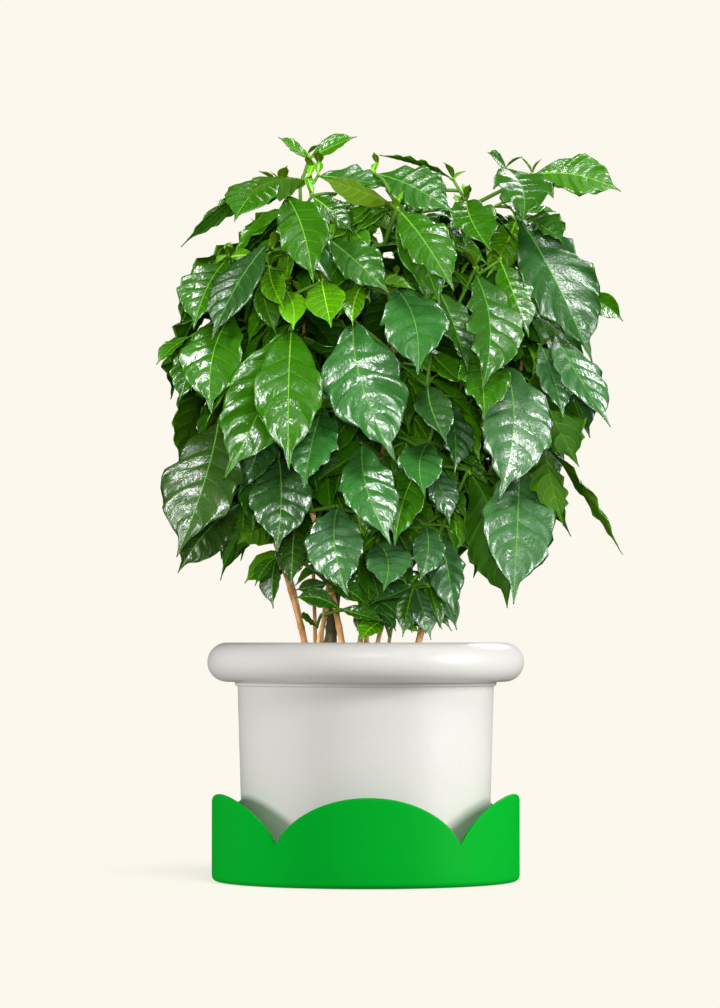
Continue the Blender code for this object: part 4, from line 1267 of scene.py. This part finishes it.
def bark_relief(point, rise):
    """How far the bark stands out at a point, as a share of the limb's radius."""
    along = rise / BARK_NODE
    node = math.exp(-((along - round(along)) * BARK_NODE / BARK_NODE_HALF) ** 2)
    rough = sum(noise.noise(Vector((point.x * wide, point.y * wide, point.z * tall))) * depth
                for wide, tall, depth in BARK_ROUGH)
    return rough + BARK_NODE_RISE * node * (rise > BARK_NODE_FIRST)


def make_bark(limb, material):
    """A limb in short steps with its bark's relief, its nodes and both of its ends closed."""
    points = limb_path(limb)
    radii = limb_radii(limb, points)
    fine, widths = [points[0]], [radii[0]]
    for (start, end), (low, high) in zip(zip(points, points[1:]), zip(radii, radii[1:])):
        parts = max(round((end - start).length / BARK_STEP), 1)
        fine += [start.lerp(end, step / parts) for step in range(1, parts + 1)]
        widths += [mix(low, high, step / parts) for step in range(1, parts + 1)]
    bottom = points[0].z
    rings = []
    for ring, centre, radius in zip(tube_rings(fine, widths, BARK_SIDES), fine, widths):
        reliefs = [bark_relief(point, centre.z - bottom) for point in ring]
        rings.append([tuple(centre + (point - centre).normalized() * radius * (1 + relief))
                      for point, relief in zip(ring, reliefs)])
    array = np.array(rings)
    array[0, :, 2] = bottom
    low, top = (np.repeat(end.mean(axis=1, keepdims=True), BARK_SIDES, axis=1)
                for end in (array[:1], array[-1:]))
    array = np.concatenate([low + (array[:1] - low) * PIPE_CLOSE, array,
                            top + (array[-1:] - top) * PIPE_CLOSE])
    quads = grid_quads(len(array), BARK_SIDES, closed=True)
    add_piece("bark_" + limb.name, array, quads, material, limb.name, "bark")


# Pot, saucer and soil

def turned_piece(name, profiles, material, node, slot_name, closed=True):
    """A piece from profiles of r and z that stand evenly round the Z axis."""
    steps, count = len(profiles), len(profiles[0])
    angles = [math.tau * step / steps for step in range(steps)]
    points = np.array([[(r * math.cos(angle), r * math.sin(angle), z) for r, z in profile]
                       for profile, angle in zip(profiles, angles)])
    step, spot = np.meshgrid(np.arange(steps), np.arange(count if closed else count - 1), indexing="ij")
    after, further = (step + 1) % steps, (spot + 1) % count
    quads = np.stack([step * count + spot, after * count + spot, after * count + further,
                      step * count + further], axis=-1).reshape(-1, 4)
    add_piece(name, points, quads, material, node, slot_name)


def rounded(profile, radius, steps=4):
    """An open profile with its inner corners rounded."""
    result = [profile[0]]
    for before, corner, after in zip(profile, profile[1:], profile[2:]):
        here = Vector(corner)
        to_before, to_after = Vector(before) - here, Vector(after) - here
        reach = min(radius, to_before.length * 0.45, to_after.length * 0.45)
        start = here + to_before.normalized() * reach
        end = here + to_after.normalized() * reach
        result += [tuple(quadratic(start, here, end, step / steps)) for step in range(steps + 1)]
    return result + [profile[-1]]


def make_pot(material):
    """The rim's roll and the neck, down the outside, through the drain hole and up the inside."""
    rim_bottom = RIM_TOP_Z - RIM_DEPTH
    inside = POT_BODY_RADIUS - POT_WALL
    inside_foot = POT_FOOT_RADIUS - POT_WALL
    floor = POT_FOOT_Z + POT_FLOOR
    shelf_edge = RIM_SHELF - inside
    roll = arc(POT_RIM_RADIUS - RIM_ROLL, RIM_TOP_Z - RIM_ROLL, RIM_ROLL, 90, -90, 28)
    below = (mix(POT_BODY_RADIUS, POT_FOOT_RADIUS, 0.3), mix(rim_bottom, POT_FOOT_Z, 0.3))
    neck = rounded([roll[-1], (POT_NECK_RADIUS, rim_bottom), (POT_NECK_RADIUS, rim_bottom - NECK_DEPTH),
                    (POT_BODY_RADIUS, rim_bottom - NECK_DEPTH), below], POT_CORNER)
    profile = roll + neck[1:]
    profile += arc(POT_FOOT_RADIUS - POT_EDGE, POT_FOOT_Z + POT_EDGE, POT_EDGE, 0, -90, 8)
    profile += [(DRAIN_RADIUS, POT_FOOT_Z), (DRAIN_RADIUS, floor), (inside_foot, floor)]
    profile += [(inside, RIM_TOP_Z - shelf_edge)]
    profile += arc(RIM_SHELF, RIM_TOP_Z - shelf_edge, shelf_edge, 180, 90, 10)[1:]
    turned_piece("glazed_pot", [profile[::-1]] * POT_SIDES, material, "pot", "glaze")


def make_saucer(material):
    """The scalloped wall from the floor's middle to its rounded edge and back down inside."""
    inner = SAUCER_RADIUS - SAUCER_WALL
    edge_r = SAUCER_RADIUS - SAUCER_EDGE
    half = SAUCER_WALL / 2
    outside = [(AXIS_GAP, 0.0)] + arc(edge_r, SAUCER_EDGE, SAUCER_EDGE, -90, 0, 6)
    inside = arc(edge_r, SAUCER_EDGE, SAUCER_EDGE - SAUCER_WALL, 0, -90, 4) + [(AXIS_GAP, SAUCER_WALL)]
    profiles = []
    for step in range(SAUCER_SIDES):
        top = saucer_height(math.tau * step / SAUCER_SIDES)
        climb = [(SAUCER_RADIUS, mix(SAUCER_EDGE, top - half, share))
                 for share in (0.25, 0.5, 0.75, 0.97)]
        lip = arc(SAUCER_RADIUS - half, top - half, half, 0, 180, 8)
        fall = [(inner, mix(top - half, SAUCER_EDGE, share)) for share in (0.03, 0.25, 0.5, 0.75)]
        profiles.append(outside + climb + lip + fall + inside)
    turned_piece("scalloped_saucer", profiles, material, "saucer", "saucer", closed=False)


def make_soil(material):
    """Uneven potting soil, with crumbs lying on it."""
    draw = random.Random(SEED + 2)
    reach = POT_BODY_RADIUS - POT_WALL - SOIL_GAP
    foot = POT_FOOT_RADIUS - POT_WALL - SOIL_GAP
    floor = POT_FOOT_Z + POT_FLOOR + CLEARANCE
    rings = [(reach * max(row, 0.05) / (SOIL_RINGS - 1), None) for row in range(SOIL_RINGS)]
    rings += [(reach, SOIL_Z - 0.006), (foot, floor + 0.002), (foot - 0.002, floor), (AXIS_GAP, floor)]
    array = np.zeros((len(rings), SOIL_SIDES, 3))
    for row, (radius, level) in enumerate(rings):
        for step in range(SOIL_SIDES):
            angle = math.tau * step / SOIL_SIDES
            spot = Vector((radius * math.cos(angle), radius * math.sin(angle), 0))
            lift = sum(noise.noise(spot * scale) * depth for scale, depth in SOIL_WAVES)
            z = SOIL_Z - SOIL_DIP + lift if level is None else level
            array[row, step] = (radius * math.cos(angle), radius * math.sin(angle), z)
    gather = Gather()
    quads = grid_quads(len(rings), SOIL_SIDES, closed=True)
    gather.add(array, quads, np.zeros(len(quads)))
    for _ in range(CRUMBS):
        radius = reach * math.sqrt(draw.random()) * 0.97
        angle = draw.uniform(0, math.tau)
        size = draw.choice(CRUMB_SIZES)
        spot = Vector((radius * math.cos(angle), radius * math.sin(angle), SOIL_Z - 0.0004 + size * 0.2))
        tilt = Vector([draw.uniform(-1, 1) for _ in range(3)]).normalized() * size
        end, middle = size * draw.uniform(0.5, 0.9), size * draw.uniform(0.6, 1.0)
        add_pipe(gather, [spot - tilt, spot, spot + tilt], [end, middle, end], 6, 0)
    gather.piece("potting_soil", [material], ["soil"], "soil")


# Foliage

def leaf_look(leaf, age, draw):
    """How one leaf varies. A young or small one is calmer, and one on edge is rolled narrow."""
    look = {name: draw.uniform(*limits) for name, limits in LOOK.items()}
    if age < YOUNG_AGE or min(leaf.width, (leaf.tip - leaf.base).length) < SMALL_BLADE:
        for name in CALMER:
            look[name] *= YOUNG_CALM
    if abs(leaf.turn - round(leaf.turn / math.pi) * math.pi) > TURN_EDGE:
        look["wide"] *= ROLLED_WIDE
        look["twist"] *= ROLLED_TWIST
    return look


def leaf_slots(age, tone, draw):
    """The material slots of a leaf by its green, or by its age where that isn't given."""
    drawn = round(age * TONES_BY_AGE + draw.uniform(-TONE_DRIFT, TONE_DRIFT))
    tone = min(max(drawn, 0), TONE_OLDEST) if tone is None else tone
    first = len(BLADES) + len(RIB_PARTS) * sum(tone >= start for start in RIBS_FROM)
    return [tone, first, max(tone - 1, 0), first + 1, first + 2, first + 3]


def foliage_materials():
    materials = [blade_material(name, srgb(*colour), *gloss) for name, colour, *gloss in BLADES]
    for family, colours in RIBS.items():
        materials += [plain_leaf_material(f"{part}_{family}", srgb(*colour), roughness)
                      for (part, roughness), colour in zip(RIB_PARTS, colours)]
    return materials


def settle_leaves(masses, grid, draw):
    """The look of each leaf in the order of growth. Where its finer shape would cross a leaf
    that is there already, it is held flatter and a little further out."""
    grown = sorted((entry, mass.name) for mass in masses for entry in mass.leaves)
    settled = {mass.name: [] for mass in masses}
    there = []
    for (_, leaf, age, tone, fine), name in grown:
        if age is None:
            age = age_at(height_in_crown(leaf.root.z), 1.1, 0.5, (-0.25, 0.15), draw)
        look = leaf_look(leaf, age, draw)
        for flat, out in SETTLE_WAYS:
            tame = {**look, "fold": look["fold"] * (0.4 + 0.6 * flat), "ripple": look["ripple"] * flat,
                    "twist": look["twist"] * flat}
            move = leaf.facing * out
            held = leaf._replace(base=leaf.root.lerp(leaf.base, STALK_SHARE) + move, tip=leaf.tip + move)
            points = smooth_blade(held, grid, tame)[0].reshape(-1, 3)
            tree = BVHTree.FromPolygons(points.tolist(), grid.quads.tolist())
            low, high = points.min(axis=0), points.max(axis=0)
            if not any((low < top).all() and (high > foot).all() and tree.overlap(other)
                       for other, foot, top in there):
                break
        there.append((tree, low, high))
        settled[name].append((held, age, tame, leaf_slots(age, tone, draw), fine))
    return settled


def smooth_path(points, radii):
    """A twig's three points, or a stem's more, as a smooth curve."""
    if len(points) == 3:
        control = points[1] * 2 - (points[0] + points[2]) / 2
        steps = 7
        path = [quadratic(points[0], control, points[2], step / steps) for step in range(steps + 1)]
        slim = mix(*TWIG_THIN, min((points[2] - points[0]).length / 0.08, 1.0))
        return path, [mix(slim * 1.3, slim, step / steps) for step in range(steps + 1)]
    path, widths = [], []
    for index, (start, end) in enumerate(zip(points, points[1:])):
        slope_in = (end - points[max(index - 1, 0)]) / 2
        slope_out = (points[min(index + 2, len(points) - 1)] - start) / 2
        for t in (0.0, 0.2, 0.4, 0.6, 0.8):
            path.append(start * (2 * t ** 3 - 3 * t ** 2 + 1) + slope_in * (t ** 3 - 2 * t ** 2 + t)
                        + end * (3 * t ** 2 - 2 * t ** 3) + slope_out * (t ** 3 - t ** 2))
            widths.append(mix(radii[index], radii[index + 1], t))
    return path + [points[-1]], widths + [radii[-1]]


def make_foliage(mass, settled, grids, materials, twig_materials):
    """A mass's leaves as one piece, and its stem, twigs and leaf stalks as another."""
    leaves, twigs = Gather(), Gather()
    for leaf, age, look, slots, fine in settled:
        add_blade(leaves, leaf, grids[0] if fine else grids[1], look, slots)
        start = leaf.base + (leaf.tip - leaf.base).normalized() * 0.001
        add_pipe(twigs, [leaf.root, mix(leaf.root, start, 0.5) + UP * STALK_ARCH, start],
                 STALK_RADII, 6, TWIG_YOUNG if age < 0.5 else TWIG_GREEN)
    for points, radii in mass.twigs:
        stem = len(points) > 3
        slots = (TWIG_BARK, TWIG_GREEN) if stem else (TWIG_GREEN,)
        add_pipe(twigs, *smooth_path(points, radii), 8, *slots)
    name = mass.name.removeprefix("foliage_")
    leaves.piece("leaves_" + name, materials, [mass.name], "leaf")
    twigs.piece("twigs_" + name, twig_materials, [mass.name], "leaf")


# Stage, light and camera

def emission_material(name, colour):
    material = bpy.data.materials.new(name)
    material.use_nodes = True
    nodes = material.node_tree.nodes
    nodes.remove(nodes["Principled BSDF"])
    glow = add_node(material, "ShaderNodeEmission", Color=(*colour, 1.0)).outputs["Emission"]
    material.node_tree.links.new(glow, nodes["Material Output"].inputs["Surface"])
    return material


def floor_material(colour):
    """The backdrop's colour, part of it lit by the lamps near the plant so that it takes a shadow."""
    material = emission_material("floor", colour)
    nodes, link = material.node_tree.nodes, material.node_tree.links.new
    dimmed = (*(value * FLOOR_ALBEDO for value in colour), 1.0)
    lit = add_node(material, "ShaderNodeBsdfDiffuse", Color=dimmed)
    far = add_node(material, "ShaderNodeVectorMath", operation="LENGTH")
    link(place_of(material), far.inputs[0])
    share = range_of(material, far.outputs["Value"], FLOOR_SHARE, 0.0, 0.25, 0.55)
    blend = add_node(material, "ShaderNodeMixShader", Fac=share)
    link(nodes["Emission"].outputs["Emission"], blend.inputs[1])
    link(lit.outputs["BSDF"], blend.inputs[2])
    link(blend.outputs["Shader"], nodes["Material Output"].inputs["Surface"])
    return material


def add_to_stage(name, material):
    """What was just made gets its name and material, and neither lights nor shades the object."""
    thing = bpy.context.object
    thing.name = name
    thing.data.materials.append(material)
    for ray in ("diffuse", "glossy", "transmission", "shadow"):
        setattr(thing, "visible_" + ray, False)


def make_stage():
    cream = srgb(*CREAM)
    bpy.ops.mesh.primitive_circle_add(vertices=128, radius=4.0, fill_type="NGON",
                                      location=(0, 0, -0.0004))
    add_to_stage("floor", floor_material(cream))
    bpy.ops.mesh.primitive_uv_sphere_add(segments=48, ring_count=24, radius=9.0)
    add_to_stage("backdrop", emission_material("backdrop", cream))


def add_lamp(name, kind, power, toward, receivers):
    data = bpy.data.lights.new(name, kind)
    data.energy = power
    lamp = bpy.data.objects.new(name, data)
    bpy.context.scene.collection.objects.link(lamp)
    lamp.rotation_euler = toward.to_track_quat("-Z", "Y").to_euler()
    lamp.light_linking.receiver_collection = receivers
    return lamp


def make_lights():
    """Lamps for the whole object and for the plant alone, and a sun that shades only the floor."""
    lit = {name: bpy.data.collections.new(name) for name in ("floor", "object", "plant", "below")}
    for thing in bpy.context.scene.objects:
        if thing.name == "floor":
            lit["floor"].objects.link(thing)
        elif thing.name != "backdrop":
            lit["object"].objects.link(thing)
        if thing.name.startswith(("leaves_", "twigs_", "bark_")):
            lit["plant"].objects.link(thing)
        elif thing.name in ("glazed_pot", "scalloped_saucer", "potting_soil"):
            lit["below"].objects.link(thing)
    for name, place, aim, size, power, lights in LAMPS:
        lamp = add_lamp(name, "AREA", power, Vector(aim) - Vector(place), lit[lights])
        lamp.location = place
        lamp.data.shape = "RECTANGLE"
        lamp.data.size, lamp.data.size_y = size
        lamp.visible_camera = False
        lamp.visible_glossy = not name.startswith("soft")
    power = math.pi * (1 / FLOOR_ALBEDO - AMBIENT) / Vector(FLOOR_LIGHT).normalized().z
    sun = add_lamp("floor_light", "SUN", power, -Vector(FLOOR_LIGHT), lit["floor"])
    sun.data.angle = FLOOR_SOFT
    sun.light_linking.blocker_collection = lit["below"]
    world = bpy.data.worlds.new("studio")
    bpy.context.scene.world = world
    world.use_nodes = True
    background = world.node_tree.nodes["Background"]
    background.inputs["Color"].default_value = (1.0, 1.0, 1.0, 1.0)
    background.inputs["Strength"].default_value = AMBIENT
    world.cycles_visibility.glossy = False


def make_camera():
    data = bpy.data.cameras.new("camera")
    data.lens = CAMERA_LENS
    data.sensor_width = 36.0
    data.clip_end = 50.0
    camera = bpy.data.objects.new("camera", data)
    bpy.context.scene.collection.objects.link(camera)
    camera.location = (CAMERA_X, -CAMERA_AWAY, CAMERA_Z)
    camera.rotation_euler = (math.pi / 2 + math.atan((AIM_Z - CAMERA_Z) / CAMERA_AWAY), 0.0, 0.0)
    bpy.context.scene.camera = camera


def grow_masses():
    """Everything that grows, in an order that lets each thing keep clear of those before it."""
    placed = []
    masses = start_masses(placed)
    grow_shown(masses, placed)
    grow_shell(masses, placed)
    grow_tops(masses, placed)
    grow_buds(masses, placed)
    # The crown's fill takes lighter greens, painted light in its shaded gaps
    grow_fill(masses, placed, SEED + 3, FILL_TRIES, DRAWN_FOOT, CROWN_TOP, FILL_LENGTHS, FILL_PAINTED_LIGHT_TONES,
              well_inside)
    grow_fill(masses, placed, SEED + 6, FOOT_TRIES, FOOT_LOW, FOOT_HIGH, FOOT_LENGTHS, FOOT_TONES,
              near_foot)
    return masses


def make_plant():
    masses = grow_masses()
    grids = [leaf_grid(*sizes) for sizes in GRIDS]
    materials = foliage_materials()
    twig_materials = [plain_leaf_material("twig_young", srgb(90, 136, 30), 0.5),
                      plain_leaf_material("twig_green", srgb(60, 96, 26), 0.55),
                      bark_material("twig_bark")]
    settled = settle_leaves(masses, grids[1], random.Random(SEED + 4))
    for mass in masses:
        make_foliage(mass, settled[mass.name], grids, materials, twig_materials)
    tan, grey = bark_material("bark_tan"), bark_material("bark_grey")
    for limb in LIMBS:
        make_bark(limb, grey if limb.name == "trunk" else tan)


def main():
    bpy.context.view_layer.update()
    bpy.context.scene.view_settings.view_transform = "Standard"
    make_plant()
    make_pot(glaze_material())
    make_saucer(saucer_material())
    make_soil(soil_material())
    make_stage()
    make_lights()
    make_camera()


main()
